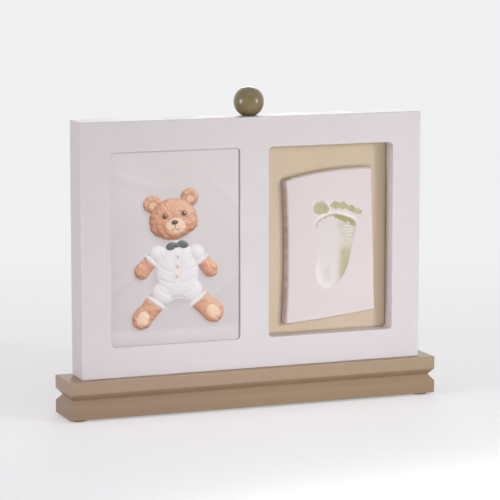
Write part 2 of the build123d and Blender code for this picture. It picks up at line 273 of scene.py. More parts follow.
def make_edge_rub_group():
    """Where a box's edges are rubbed: 1 on an edge, 0 a little way in, broken up by small patches."""
    vectors = ["Place", "Middle", "Half Size"]
    group, given, result = new_shader_group("edge_rub", vectors, ["Width"], ["Mask"])
    from_middle = calculate_vector("SUBTRACT", given["Place"], given["Middle"])
    from_middle = calculate_vector("ABSOLUTE", from_middle)
    x, y, z = split(calculate_vector("SUBTRACT", given["Half Size"], from_middle))
    low, high = calculate("MINIMUM", x, y), calculate("MAXIMUM", x, y)
    second = calculate("MAXIMUM", low, calculate("MINIMUM", high, z))
    patches = remap(noise(given["Place"], 160.0), 0.42, 0.62)
    broken = (1.0 - second / given["Width"]) * patches
    connect(remap(broken, 0.0, 1.0), result["Mask"])
    return group


def make_fibre_group():
    """Short fibres laid mostly along one axis, as in fibreboard, card, felt and wood."""
    group, given, result = new_shader_group("fibres", ["Place", "Stretch"], ["Scale"], ["Mask", "Height"])
    stretched = calculate_vector("MULTIPLY", given["Place"], given["Stretch"])
    strands = noise(stretched, given["Scale"], Detail=4.0, Distortion=0.6)
    specks = cells(stretched, given["Scale"])
    connect(remap(strands, 0.42, 0.66), result["Mask"])
    connect(strands + specks * 0.4, result["Height"])
    return group


mottle_group = make_mottle_group()
grain_group = make_grain_group()
edge_rub_group = make_edge_rub_group()
fibre_group = make_fibre_group()


def use_group(group, place, *values):
    """The outputs of a shared node group in a material, with the material's values in the group's order."""
    made = add_node(place.tree, "ShaderNodeGroup", dict(enumerate((place, *values))), node_tree=group)
    return [Wire(place.tree, socket) for socket in made.outputs]


def mottle(place, scale, low=0.0, high=1.0):
    """Soft patches between two values."""
    return use_group(mottle_group, place, scale, low, high)[0]


def grain(place, fine_scale, coarse_scale, coarse_share):
    """A fine grain's height."""
    return use_group(grain_group, place, fine_scale, coarse_scale, coarse_share)[0]


def new_material(name, plain):
    """A material, its Principled shader and its Object coordinates. Plain values go on the sockets."""
    material = bpy.data.materials.new(name)
    material.use_nodes = True
    shader = material.node_tree.nodes["Principled BSDF"]
    for socket, value in plain.items():
        shader.inputs[socket].default_value = value
    return material, shader, wire_from(material.node_tree, "ShaderNodeTexCoord", output="Object")


def feed(shader, colour, roughness=None, height=None, strength=0.1, depth=0.1 * mm):
    """Feeds a shader's colour and roughness, and a height through a Bump node to its normal."""
    connect(colour, shader.inputs["Base Color"])
    if roughness is not None:
        connect(roughness, shader.inputs["Roughness"])
    if height is not None:
        bump = {"Strength": strength, "Distance": depth, "Height": height}
        connect(wire_from(height.tree, "ShaderNodeBump", bump), shader.inputs["Normal"])


def box_of(*names):
    """The lowest and highest corners of several nodes together."""
    boxes = [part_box(name) for name in names]
    low = Vector([min(box[0][axis] for box in boxes) for axis in range(3)])
    high = Vector([max(box[1][axis] for box in boxes) for axis in range(3)])
    return low, high


def joint_lines(place, heights):
    """Hairlines in the paint over the two joints of the rear rails, behind the front board."""
    _, y, z = split(place)
    lines = [remap(abs(z - height), 0.0, hairline_half_width, 1.0, 0.0) for height in heights]
    return calculate("MAXIMUM", *lines) * calculate("GREATER_THAN", y, hairline_half_width)


def make_sprayed_paint(name, base, drift, rub, box, rub_width, gloss, joint_heights=(), shade_bands=()):
    """Sprayed satin paint on fibreboard: a faint orange peel, soft drifts of tone and lightly rubbed edges.

    Bands of painted shade, each a height, a reach and a share, darken a groove or a foot."""
    low, high = box
    material, shader, place = new_material(name, {"Coat Weight": 0.05, "Coat Roughness": 0.35})
    colour = blend_colours(mottle(place, 9.0), base, drift)
    colour = blend_colours(mottle(place, 70.0, 0.0, 0.5) * 0.3, colour, rub)
    rubbed = use_group(edge_rub_group, place, (low + high) / 2, (high - low) / 2, rub_width)[0]
    colour = blend_colours(rubbed * 0.6, colour, rub)
    # Painted shade: darker in a groove and towards the foot
    for band_height, reach, share in shade_bands:
        gap = abs(split(place)[2] - band_height)
        colour = blend_colours(remap(gap, 0.0, reach, share, 0.0), colour, painted_shade_colour)
    peel = grain(place, 1100.0, 260.0, 0.8)
    if joint_heights:
        lines = joint_lines(place, joint_heights)
        colour = blend_colours(lines * 0.55, colour, hairline_colour)
        peel = peel - lines * 1.2
    feed(shader, colour, mottle(place, 45.0, gloss, gloss + 0.10), peel, 0.20, 0.05 * mm)
    return material


def shade_corners(place, colour, middle, half_size, soft_shade_share, shade_line_share, top_tightness):
    """Painted shade, darker towards an opening's right and top walls, with a thin dark line against them."""
    x, _, z = split(place)
    room_at_top = (middle[1] + half_size[1] - z) * top_tightness
    room = calculate("MINIMUM", middle[0] + half_size[0] - x, room_at_top)
    colour = blend_colours(remap(room, *corner_shade_reach, soft_shade_share, 0.0), colour, corner_shade_colour)
    return blend_colours(remap(room, *corner_shade_line_reach, shade_line_share, 0.0), colour, corner_shade_line_colour)


def make_fibre_material(name, base, dark, stretch, scale, roughness, strength, drift=None, opening=None):
    """Pressed fibres: hardboard, card and felt. A second tone may drift over a large sheet, and painted shade may
    darken it towards an opening's walls."""
    material, shader, place = new_material(name, {"Roughness": roughness, "Specular IOR Level": 0.3})
    mask, height = use_group(fibre_group, place, stretch, scale)
    if drift is not None:
        base = blend_colours(mottle(place, 14.0), base, drift)
    colour = blend_colours(mask * 0.55 + mottle(place, 40.0, 0.0, 0.35), base, dark)
    if opening is not None:
        # Painted shade towards the opening's right and top walls
        colour = shade_corners(place, colour, *opening)
    feed(shader, colour, None, height, strength, 0.12 * mm)
    return material


def make_ball_lacquer():
    """Olive lacquer under a clear coat, over a turned ball."""
    plain = {"Coat Weight": 0.55, "Coat Roughness": 0.16, "Coat IOR": 1.5}
    material, shader, place = new_material("ball_lacquer", plain)
    colour = blend_colours(mottle(place, 120.0, 0.0, 0.7), ball_colour, ball_deep_colour)
    peel = grain(place, 900.0, 240.0, 1.0)
    feed(shader, colour, mottle(place, 300.0, 0.3, 0.4), peel, 0.10, 0.05 * mm)
    return material


def make_acrylic():
    """A clear sheet: only its gloss shows, faint face on and stronger at a low angle, with some dust."""
    plain = {"Metallic": 1.0, "Roughness": 0.05, "Base Color": (0.93, 0.95, 0.95, 1.0)}
    material, shader, place = new_material("clear_acrylic_sheet", plain)
    gloss = wire_from(place.tree, "ShaderNodeFresnel", {"IOR": 1.49})
    facing = 1.0 - wire_from(place.tree, "ShaderNodeNewGeometry", output="Backfacing")
    connect((gloss + mottle(place, 55.0, 0.0, 0.012)) * facing, shader.inputs["Alpha"])
    return material


def make_beech():
    """Turned beech with its short dark rays."""
    material, shader, place = new_material("beech_wood", {"Roughness": 0.6})
    rays, height = use_group(fibre_group, place, (1.0, 1.0, 0.12), 1400.0)
    feed(shader, blend_colours(rays, beech_colour, beech_fleck_colour), None, height, 0.15)
    return material


def make_plated_metal(name, base, roughness, stretch):
    """Plated steel with fine rub marks and a cloudy gloss."""
    material, shader, place = new_material(name, {"Metallic": 1.0})
    marks, height = use_group(fibre_group, place, stretch, 1600.0)
    colour = blend_colours(mottle(place, 350.0), base, tuple(channel * 0.8 for channel in base))
    feed(shader, colour, remap(marks, 0.0, 1.0, roughness, roughness + 0.14), height, 0.08, 0.04 * mm)
    return material


def make_foam():
    """White foam tape with open pores."""
    material, shader, place = new_material("foam_pads", {"Roughness": 0.9})
    pores = cells(place, 2200.0)
    feed(shader, blend_colours(remap(pores, 0.1, 0.6), foam_pore_colour, foam_colour), None, pores, 0.5)
    return material


def make_print_material():
    """Lustre photo paper: the picture is painted on the sheet's points, and the surface has a fine pebble."""
    plain = {"Coat Weight": 0.12, "Coat Roughness": 0.25, "Specular IOR Level": 0.4}
    material, shader, place = new_material("lustre_print", plain)
    picture = wire_from(place.tree, "ShaderNodeAttribute", output="Color", attribute_name="picture")
    # Painted shade: a thin dark line along the print's right and top edges, under the window's lip
    picture = shade_corners(place, picture, *photo_opening)
    pebble = grain(place, 2600.0, 900.0, 0.4)
    feed(shader, picture, mottle(place, 60.0, 0.38, 0.46), pebble, 0.06, 0.02 * mm)
    return material


def make_clay_material():
    """Air-dried clay: matt, chalky and faintly pitted. The print's colour is painted on the tile's points."""
    material, shader, place = new_material("dried_clay", {"Roughness": 0.82, "Specular IOR Level": 0.25})
    painted = wire_from(place.tree, "ShaderNodeAttribute", output="Color", attribute_name="clay_colour")
    chalk = blend_colours(mottle(place, 60.0, 0.0, 0.10), painted, chalk_bloom_colour)
    pitted = remap(cells(place, 700.0), 0.0, 0.16)
    colour = blend_colours((1.0 - pitted) * 0.15, chalk, clay_pit_colour)
    feed(shader, colour, None, grain(place, 1300.0, 320.0, 1.2) + pitted * 0.6, 0.45, 0.08 * mm)
    return material


block_box = box_of("front_panel", "rear_rail_top", "rear_rail_bottom")
rail_joints = [corner.z for corner in box_of("rear_rail_left")]
plinth_box = box_of("plinth_lower_board", "plinth_upper_board")
materials = {
    "white_paint": make_sprayed_paint(
        "white_satin_paint", white_paint_colour, tuple(0.975 * c for c in white_paint_colour),
        white_rub_colour, block_box, 1.6 * mm, 0.40, rail_joints),
    "taupe_paint": make_sprayed_paint(
        "taupe_satin_paint", taupe_colour, olive_drift_colour, taupe_rub_colour, plinth_box, 1.8 * mm, 0.44,
        shade_bands=plinth_painted_shade_bands),
    "olive_lacquer": make_ball_lacquer(),
    "clear_acrylic": make_acrylic(),
    "photo_paper": make_print_material(),
    "air_dry_clay": make_clay_material(),
    "bare_beech": make_beech(),
    "foam_tape": make_foam(),
    "zinc_steel": make_plated_metal("zinc_plate", zinc_colour, 0.30, (1.0, 1.0, 1.0)),
    "nickel_steel": make_plated_metal("nickel_plate", nickel_colour, 0.24, (1.0, 1.0, 0.15)),
    "beige_board": make_fibre_material(
        "beige_card_board", board_colour, board_fleck_colour, (0.6, 1.0, 1.0), 1500.0, 0.80, 0.12,
        drift=board_drift_colour, opening=print_opening),
    **{slot: make_fibre_material(*values) for slot, values in fibre_finishes.items()},
}
slot_of = {row["node"]: row["material_slot"] for row in frame["record"]["subparts"]}
finish_of = {**{name: materials[slot_of[name]] for name in nodes}, "back_panel": materials["hardboard"]}
for name, part in nodes.items():
    for index in range(len(part.data.materials)):
        part.material_slots[index].material = finish_of[name]


def new_piece(name, vertices, faces, node_names, smooth=True):
    """A mesh object that stands for CAD nodes. It takes the first node's body, slot and finish."""
    mesh = bpy.data.meshes.new(name)
    mesh.from_pydata([tuple(v) for v in vertices], [], faces)
    mesh.validate()
    mesh.polygons.foreach_set("use_smooth", [smooth] * len(mesh.polygons))
    piece = bpy.data.objects.new(name, mesh)
    bpy.context.scene.collection.objects.link(piece)
    mesh.materials.append(finish_of[node_names[0]])
    stand_for(piece, node_names)
    return piece


def stand_for(piece, node_names):
    """Lets a piece ride on a node's body and stand for it."""
    bodies = frame["record"]["behaviour"]["bodies"]
    body = next(name for name, members in bodies.items() if node_names[0] in members)
    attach(piece, body)
    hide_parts(*node_names)


def smoothly(value, low, high):
    """0 below low, 1 above high and a smooth step between, for numbers and arrays."""
    share = np.clip((value - low) / (high - low), 0.0, 1.0)
    return share * share * (3.0 - 2.0 * share)


def noise_field(x, z, cell, seed):
    """Smooth random hills from -1 to 1 over x and z, with one hill or hollow about every cell."""
    lattice_size = 64
    lattice = np.random.default_rng(seed).uniform(-1.0, 1.0, (lattice_size, lattice_size))
    column, row = x / cell + lattice_size, z / cell + lattice_size
    left, low = np.floor(column).astype(int), np.floor(row).astype(int)
    across, up = smoothly(column - left, 0.0, 1.0), smoothly(row - low, 0.0, 1.0)
    left, low = left % lattice_size, low % lattice_size
    right, high = (left + 1) % lattice_size, (low + 1) % lattice_size
    bottom = lattice[left, low] * (1 - across) + lattice[right, low] * across
    top = lattice[left, high] * (1 - across) + lattice[right, high] * across
    return bottom * (1 - up) + top * up


def slab_mesh(front, back_y, back_inset=0.0):
    """Vertices and faces of a closed slab: a front grid of rows, columns and XYZ, and a flat back at one Y.

    The back may be drawn in all round."""
    rows, columns = front.shape[:2]
    index = np.arange(rows * columns).reshape(rows, columns)
    corners = np.stack([index[:-1, :-1], index[:-1, 1:], index[1:, 1:], index[1:, :-1]], axis=-1)
    rim = np.concatenate([index[0, :-1], index[:-1, -1], index[-1, :0:-1], index[:0:-1, 0]])
    points = front.reshape(-1, 3)
    low, high = points.min(axis=0), points.max(axis=0)
    middle, half_size = (low + high) / 2, np.maximum((high - low) / 2, mm)
    back_rim = middle + (points[rim] - middle) * (1 - back_inset / half_size)
    back_rim[:, 1] = back_y
    vertices = np.concatenate([points, back_rim, back_rim.mean(axis=0, keepdims=True)])
    back = np.arange(len(rim)) + rows * columns
    walls = np.stack([rim, back, np.roll(back, -1), np.roll(rim, -1)], axis=-1)
    hub = np.full(len(rim), len(vertices) - 1)
    fan = np.stack([back, hub, np.roll(back, -1)], axis=-1)
    return vertices, corners.reshape(-1, 4).tolist() + walls.tolist() + fan.tolist()


def paint_points(piece, attribute, colours):
    """Writes linear colours, one for each point, to a colour attribute of a piece."""
    layer = piece.data.color_attributes.new(attribute, "FLOAT_COLOR", "POINT")
    opaque = np.hstack([colours, np.ones((len(colours), 1))])
    layer.data.foreach_set("color", opaque.ravel().astype(np.float32))


def tint(colour, target, share):
    """Points' colours moved towards one colour by a share that differs from point to point."""
    return colour + (np.asarray(target) - colour) * np.clip(share, 0.0, 1.0)[..., None]


def hump(value, width):
    """1 where a value is 0, falling smoothly to 0 a width or two away."""
    return np.exp(-((value / width) ** 2))


def spot(x, z, middle_x, middle_z, reach_x, reach_z):
    """A soft round spot: 1 at its middle and 0 well beyond its reach."""
    return np.exp(-(((x - middle_x) / reach_x) ** 2 + ((z - middle_z) / reach_z) ** 2))


# The clay tile: trimmed by hand at a slant, so each side bows a little and the right side stands higher
tile_rise = 7.2 * mm
tile_top_narrowing = 3.6 * mm
tile_corner = 1.6 * mm
tile_left_cut = 3.0 * mm
tile_right_cut = 1.2 * mm
tile_bottom_cut = 1.3 * mm
tile_top_cut = 0.9 * mm
tile_cut_drop = 3.2 * mm
tile_cut_ease = 0.045
tile_back_inset = 0.9 * mm
tile_top_bulge = 2.3 * mm
tile_bottom_bulge = 0.6 * mm
tile_left_hollow = 1.9 * mm
tile_right_hollow = 0.3 * mm
tile_point_spacing = 0.31 * mm
tile_sway = 0.22 * mm
tile_front_slack = 0.10 * mm

# The unevenness of the tile's face: the size of its hills and hollows, a seed, and a share
tile_sways = ((21 * mm, 3, 1.0), (8 * mm, 4, 0.45), (2.5 * mm, 5, 0.16), (1.1 * mm, 6, 0.08))

# The footprint in the tile
sole_width = 32.5 * mm
sole_length = 55.5 * mm
sole_shift = 4.1 * mm
sole_drop = 4.3 * mm
sole_depth = 1.35 * mm
sole_wall = 2.4 * mm
sole_outline_shares = (
    (-0.36, 0.16),
    (-0.42, 0.00),
    (-0.49, -0.26),
    (-0.38, -0.44),
    (-0.16, -0.50),
    (0.10, -0.41),
    (0.30, -0.22),
    (0.41, 0.05),
    (0.50, 0.27),
    (0.46, 0.40),
    (0.21, 0.47),
    (-0.04, 0.50),
    (-0.28, 0.47),
    (-0.47, 0.39),
    (-0.44, 0.29),
)

# Where the foot pressed more or less, and a spot of painted shade in the heel: middle and reach in shares of the
# sole
ball_spot = (0.02, 0.30, 0.42, 0.20)
heel_spot = (-0.16, -0.34, 0.30, 0.17)
arch_spot = (-0.36, -0.02, 0.24, 0.20)
heel_shade_spot = (-0.19, -0.27, 0.09, 0.10)

# Each toe's place as shares of the sole, its width, length and turn, and the depth of its dent
toes = (
    (-0.350, 0.588, 12.4 * mm, 10.6 * mm, -6.0, 1.2 * mm),
    (-0.022, 0.624, 7.6 * mm, 5.8 * mm, -8.0, 0.9 * mm),
    (0.180, 0.606, 7.8 * mm, 5.8 * mm, -16.0, 0.9 * mm),
    (0.366, 0.570, 7.8 * mm, 5.6 * mm, -24.0, 0.9 * mm),
    (0.540, 0.524, 7.2 * mm, 4.8 * mm, -28.0, 0.8 * mm),
)

# Creases of the skin across the outer ball: place and half length as shares of the sole, and slope in degrees
creases = (
    (0.33, 0.325, 0.17, -4.0),
    (0.34, 0.285, 0.17, 3.0),
    (0.34, 0.248, 0.15, 6.0),
    (0.35, 0.208, 0.12, 9.0),
)
crease_half_width = 0.48 * mm
crease_height = 0.17 * mm

# The clay raised round the sole and the toes, and the knife's marks on the slanted cut
rim_height = 0.22 * mm
toe_rim_height = 0.10 * mm
cut_mark_depth = 0.07 * mm

# Colours of the clay, of what the ink left, and of the painted shade and highlights on it, as linear colours
clay_colour = (0.745, 0.665, 0.667)
pressed_colour = (0.722, 0.684, 0.666)
chalk_colour = (0.845, 0.805, 0.800)
# Painted highlight on raised clay ridges and thin edges
ridge_highlight_colour = (0.905, 0.865, 0.835)
# Painted shade in the heel
heel_shade_colour = (0.560, 0.530, 0.500)
# Painted shade on the slanted cut, strongest on the left side
cut_shade_colour = (0.440, 0.310, 0.255)
ink_olive = (0.350, 0.335, 0.125)
ink_gold = (0.540, 0.385, 0.180)
ink_pale = (0.625, 0.575, 0.425)


def bowed_line(start, end, bow, share):
    """Points along a line that bows sideways, to the left of its direction, for shares of its length."""
    start, end = np.asarray(start), np.asarray(end)
    along = end - start
    left = np.array([-along[1], along[0]]) / np.hypot(*along)
    share = share[..., None]
    return start + along * share + left * bow * 4 * share * (1 - share)


def tile_plan(width, height):
    """The tile's grid in its own plane, and how far each point lies down the slanted cut, from 0 to 1.

    A rectangle's grid gets its corners drawn in to quarter circles, then is stretched between bowed sides."""
    columns = int(width / tile_point_spacing) + 1
    rows = int(height / tile_point_spacing) + 1
    x = np.linspace(-width / 2, width / 2, columns)
    x, z = np.meshgrid(x, np.linspace(-height / 2, height / 2, rows))
    in_x = np.clip(np.abs(x) - (width / 2 - tile_corner), 0.0, None)
    in_z = np.clip(np.abs(z) - (height / 2 - tile_corner), 0.0, None)
    round_x = in_x * np.sqrt(1 - in_z**2 / (2 * tile_corner**2))
    round_z = in_z * np.sqrt(1 - in_x**2 / (2 * tile_corner**2))
    hand = 1 + 0.07 * noise_field(x, z, 9 * mm, 7)
    sides = (
        (x + width / 2, tile_left_cut),
        (width / 2 - x, tile_right_cut),
        (z + height / 2, tile_bottom_cut),
        (height / 2 - z, tile_top_cut),
    )
    slopes = [np.zeros_like(x)] + [1 - room / (cut * hand) for room, cut in sides]
    slant = tile_cut_ease * np.logaddexp.reduce(np.stack(slopes) / tile_cut_ease)
    x = np.sign(x) * (np.abs(x) - in_x + round_x)
    z = np.sign(z) * (np.abs(z) - in_z + round_z)
    across, up = x / width + 0.5, z / height + 0.5
    top_left = (-width / 2, (height - tile_rise) / 2)
    top_right = (width / 2 - tile_top_narrowing, (height + tile_rise) / 2)
    bottom_right = (width / 2, (tile_rise - height) / 2)
    bottom_left = (-width / 2, -(height + tile_rise) / 2)
    bottom = bowed_line(bottom_left, bottom_right, -tile_bottom_bulge, across)
    top = bowed_line(top_left, top_right, tile_top_bulge, across)
    left = bowed_line(bottom_left, top_left, -tile_left_hollow, up)
    right = bowed_line(bottom_right, top_right, tile_right_hollow, up)
    across, up = across[..., None], up[..., None]
    plan = (1 - up) * bottom + up * top + (1 - across) * left + across * right
    plan -= (1 - up) * ((1 - across) * np.array(bottom_left) + across * np.array(bottom_right))
    plan -= up * ((1 - across) * np.array(top_left) + across * np.array(top_right))
    return plan, slant


def smooth_loop(points, steps):
    """A closed smooth line through points, as a list of short steps (a Catmull-Rom line)."""
    points = np.asarray(points)
    before, after, beyond = np.roll(points, 1, 0), np.roll(points, -1, 0), np.roll(points, -2, 0)
    share = np.linspace(0, 1, steps, endpoint=False)[None, :, None]
    a, b, c, d = (p[:, None, :] for p in (before, points, after, beyond))
    line = 0.5 * (2 * b + (c - a) * share + (2 * a - 5 * b + 4 * c - d) * share**2
                  + (3 * b - a - 3 * c + d) * share**3)
    return line.reshape(-1, 2)


def distance_inside(loop, x, z):
    """How far each point lies inside a closed line, and below zero how far outside."""
    nearest = np.full(x.shape, 1.0)
    crossings = np.zeros(x.shape, int)
    for (x0, z0), (x1, z1) in zip(loop, np.roll(loop, -1, 0)):
        step_x, step_z = x1 - x0, z1 - z0
        share = np.clip(((x - x0) * step_x + (z - z0) * step_z) / (step_x**2 + step_z**2), 0, 1)
        nearest = np.minimum(nearest, np.hypot(x - x0 - share * step_x, z - z0 - share * step_z))
        if z0 != z1:
            crosses = ((z0 > z) != (z1 > z)) & (x < x0 + (z - z0) / step_z * step_x)
            crossings += crosses
    return np.where(crossings % 2 == 1, nearest, -nearest)


def in_oval(x, z, middle_x, middle_z, width, length, turn):
    """Distance from an oval's middle, as a share of its radius, so that 1 is its rim."""
    angle = math.radians(turn)
    along_x = (x - middle_x) * math.cos(angle) + (z - middle_z) * math.sin(angle)
    along_z = (z - middle_z) * math.cos(angle) - (x - middle_x) * math.sin(angle)
    return np.hypot(along_x / (width / 2), along_z / (length / 2))


def press_sole(across, along, inside, wander, fine):
    """How deep the sole pressed each point, and two marks from 0 to 1: creases, and clay raised round it.

    Across and along are shares of the sole's width and length."""
    reach = 0.72 + 0.22 * spot(across, along, *ball_spot) + 0.28 * spot(across, along, *heel_spot)
    reach = reach - 0.42 * spot(across, along, *arch_spot) + 0.05 * wander
    depth = sole_depth * np.clip(reach, 0.1, 1.12) * smoothly(inside, -0.5 * mm, sole_wall)
    crease_marks = np.zeros_like(across)
    for crease_x, crease_z, half_share, slope in creases:
        bend = 0.004 * np.sin(across * 14 + crease_x * 30)
        off = (along - crease_z - bend) - math.tan(math.radians(slope)) * (across - crease_x) * 0.55
        ends = smoothly(half_share - np.abs(across - crease_x), 0.0, 0.08)
        ridge = hump(off * sole_length, crease_half_width) * ends * smoothly(inside, 0.0, 1.5 * mm)
        depth -= crease_height * ridge
        crease_marks = np.maximum(crease_marks, ridge)
    raised = hump(inside + 1.3 * mm + 0.5 * mm * fine, 1.1 * mm)
    depth -= rim_height * raised * (0.25 + 0.75 * smoothly(along, 0.34, 0.46))
    return depth, crease_marks, raised


def ink_sole(across, along, inside, wander, fine, streak, crease_marks, raised):
    """The colours that the sole left: pressed and chalky clay, ink down its outer side and under the toes."""
    colour = np.broadcast_to(np.asarray(clay_colour), (*across.shape, 3)).copy()
    colour = tint(colour, pressed_colour, 0.62 * smoothly(inside, -0.3 * mm, 3.5 * mm))
    pale_side = smoothly(0.16 - across, 0.0, 0.35) * smoothly(0.05 - along, 0.0, 0.35)
    pale_rim = 0.42 + 0.50 * (1 - smoothly(inside, 1.5 * mm, 6.5 * mm))
    colour = tint(colour, chalk_colour, pale_rim * pale_side * smoothly(inside, -0.8 * mm, 2.0 * mm))
    # Painted shade in the heel
    colour = tint(colour, heel_shade_colour, 0.38 * spot(across, along, *heel_shade_spot))
    # Painted highlight on the raised clay round the sole's front
    colour = tint(colour, ridge_highlight_colour, 0.85 * raised * smoothly(along, 0.34, 0.46) * (0.78 + 0.42 * wander))

    # The outer side, from the heel to the ball
    fade_in = 1 - smoothly(inside, 4.4 * mm, 15.5 * mm + 1.5 * mm * wander)
    outer = smoothly(inside, -0.2 * mm, 0.9 * mm) * smoothly(across + 0.10 * along, -0.02, 0.22) * fade_in
    low_part = smoothly(0.20 - along, 0.0, 0.20) * smoothly(along, -0.49, -0.40)
    colour = tint(colour, ink_pale, 0.86 * outer * low_part)
    core = smoothly(0.12 - along + 0.04 * wander, 0.0, 0.20) * smoothly(along, -0.45, -0.33)
    core = core * outer * (1 - smoothly(inside, 5.2 * mm, 12.5 * mm))
    colour = tint(colour, ink_gold, 0.34 * core * (0.7 + 0.5 * fine))
    colour = tint(colour, ink_olive, 0.56 * core * (0.82 + 0.30 * wander))
    mid_part = smoothly(along, 0.04, 0.12) * smoothly(0.40 - along, 0.0, 0.05)
    colour = tint(colour, ink_pale, 0.54 * outer * mid_part * (0.85 + 0.35 * fine))
    colour = tint(colour, ink_olive, 0.22 * outer * mid_part * smoothly(along, 0.17, 0.24))
    colour = tint(colour, chalk_colour, 0.85 * crease_marks)

    # The arc under the toes
    thick = 1.9 * mm + 2.6 * mm * smoothly(across, -0.12, 0.16)
    arc = smoothly(along, 0.30, 0.37) * smoothly(inside, -0.5 * mm, 0.3 * mm)
    arc = arc * smoothly(thick + 1.3 * mm * streak - inside, 0.0, 1.5 * mm)
    colour = tint(colour, ink_pale, 0.80 * arc)
    colour = tint(colour, ink_olive, 0.96 * arc * smoothly(across, -0.20, -0.04) * (0.86 + 0.22 * fine))
    colour = tint(colour, ink_gold, 0.95 * arc * hump(across + 0.235, 0.095))
    return tint(colour, ink_olive, 0.50 * arc * hump(across + 0.40, 0.075))


def ink_toe(colour, rim, above, beside, fine, streak, is_big):
    """A toe's ink, patchy and ragged on the small toes, thin towards the tip and golden on the outer side."""
    ragged, patches, olive_share, gold_share = (0.0, 0.0, 0.52, 0.40) if is_big else (0.28, 0.22, 0.56, 0.22)
    inked = smoothly(1.10 + ragged * streak - rim, 0.0, 0.24 + 0.34 * above)
    colour = tint(colour, ink_pale, 0.94 * inked)
    colour = tint(colour, ink_olive, olive_share * inked * (0.86 + 0.30 * fine + patches * streak))
    return tint(colour, ink_gold, gold_share * inked * beside)


def press_footprint(x, z):
    """How deep the foot pressed each point of the clay, and the colour that it left there."""
    sole = smooth_loop([(a * sole_width, b * sole_length) for a, b in sole_outline_shares], 8)
    inside = distance_inside(sole, x, z)
    across, along = x / sole_width, z / sole_length
    wander = noise_field(x, z, 5 * mm, 11)
    fine = noise_field(x, z, 1.1 * mm, 12)
    streak = noise_field(x, z * 0.35, 0.9 * mm, 14)
    depth, crease_marks, raised = press_sole(across, along, inside, wander, fine)
    colour = ink_sole(across, along, inside, wander, fine, streak, crease_marks, raised)
    rims = []
    for toe_x, toe_z, width, length, turn, toe_depth in toes:
        rim = in_oval(x, z, toe_x * sole_width, toe_z * sole_length, width, length, turn)
        rim = rim + 0.14 * wander + 0.09 * fine
        rims.append(rim)
        depth = np.maximum(depth, toe_depth * np.clip(1 - rim**2, 0, None) ** 0.6)
        depth -= toe_rim_height * hump(rim - 1.24, 0.14)
        # Painted highlight round each toe
        colour = tint(colour, ridge_highlight_colour, 0.42 * (hump(rim - 1.20, 0.13) * (0.6 + 0.5 * wander)))
    for toe, rim in zip(toes, rims):
        toe_x, toe_z, width, length = toe[:4]
        above = smoothly(z - toe_z * sole_length, 0.0, length / 2)
        beside = smoothly(x - toe_x * sole_width, 0.0, width / 2)
        colour = ink_toe(colour, rim, above, beside, fine, streak, toe is toes[0])
    return depth, colour


def make_clay_tile():
    """The hand-trimmed tile: uneven face, slanted cut, the footprint in relief and its ink."""
    low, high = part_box("clay_tile")
    height = (high.z - low.z) - tile_rise + tile_bottom_bulge - tile_top_bulge / 2
    plan, slant = tile_plan(high.x - low.x, height)
    for axis, start, end in ((0, low.x, high.x), (1, low.z, high.z)):
        span = plan[..., axis].max() - plan[..., axis].min()
        plan[..., axis] = start + (plan[..., axis] - plan[..., axis].min()) * (end - start) / span
    x, z = plan[..., 0], plan[..., 1]
    middle_x, middle_z = (low.x + high.x) / 2, (low.z + high.z) / 2
    depth, colour = press_footprint(x - middle_x - sole_shift, z - middle_z + sole_drop)
    sway = sum(share * noise_field(x, z, cell, seed) for cell, seed, share in tile_sways)
    shaded_left_side = smoothly(low.x + 8 * mm - x, 0.0, 3 * mm)
    upper_half = smoothly(z - middle_z, 0.0, 12 * mm)
    lit_thin_edge = smoothly(slant, 0.01, 0.10)
    cut_shade_tone = 0.85 + 0.25 * noise_field(x, z, 4 * mm, 9)
    # Painted shade on the slanted cut, strongest on the left side
    colour = tint(colour, cut_shade_colour, (0.15 + 0.80 * shaded_left_side) * smoothly(slant, 0.10, 0.50) * cut_shade_tone)
    # Painted highlight on the thin edges, strongest at the top and none on the left
    colour = tint(colour, ridge_highlight_colour, lit_thin_edge * (0.25 + 0.70 * upper_half) * (1 - shaded_left_side))
    cut_marks = cut_mark_depth * noise_field(x, z, 1.5 * mm, 8) * smoothly(slant, 0.0, 0.3)
    drop = tile_front_slack + tile_sway * (0.5 + 0.5 * sway) + tile_cut_drop * slant + cut_marks + depth
    front = np.stack([x, low.y + np.clip(drop, 0.0, None), z], axis=-1)
    vertices, faces = slab_mesh(front, high.y, tile_back_inset)
    piece = new_piece("clay_footprint_tile", vertices, faces, ["clay_tile"])
    plain = np.full((len(vertices) - x.size, 3), clay_colour)
    paint_points(piece, "clay_colour", np.concatenate([colour.reshape(-1, 3), plain]))


make_clay_tile()


# The printed photo: a plush bear on a pale blanket, painted by formula in millimetres from the photo's middle
photo_point_spacing = 0.42 * mm
paper_white = 0.85
photo_air_gap = 0.05 * mm
blanket_high = (0.728, 0.668, 0.676)
blanket_low = (0.625, 0.578, 0.586)
blanket_shadow = (0.400, 0.345, 0.350)
fur_colour = (0.665, 0.330, 0.190)
fur_light = (0.830, 0.520, 0.350)
fur_dark = (0.360, 0.135, 0.070)
muzzle_colour = (0.850, 0.610, 0.440)
muzzle_light = (0.930, 0.740, 0.590)
knit_colour = (0.800, 0.770, 0.785)
knit_light = (0.890, 0.865, 0.870)
knit_shade = (0.560, 0.515, 0.545)
eye_colour = (0.026, 0.019, 0.016)
eye_shine = (0.090, 0.070, 0.060)
nose_colour = (0.060, 0.034, 0.026)
nose_shine = (0.230, 0.160, 0.130)
bow_colour = (0.085, 0.105, 0.090)
bow_light = (0.210, 0.245, 0.215)
bow_dark = (0.035, 0.045, 0.038)
thread_colour = (0.130, 0.055, 0.035)
glint_colour = (0.85, 0.85, 0.85)
light_from = (0.34, 0.52, 0.78)

# The blanket's folds: a point on each, its slope and bend, and its width
blanket_folds = (
    (-50, 58, -0.55, 0.006, 3.0),
    (8, -58, 1.30, -0.010, 1.6),
    (-52, -30, 0.35, 0.010, 2.6),
    (26, 52, -1.2, 0.012, 2.2),
)

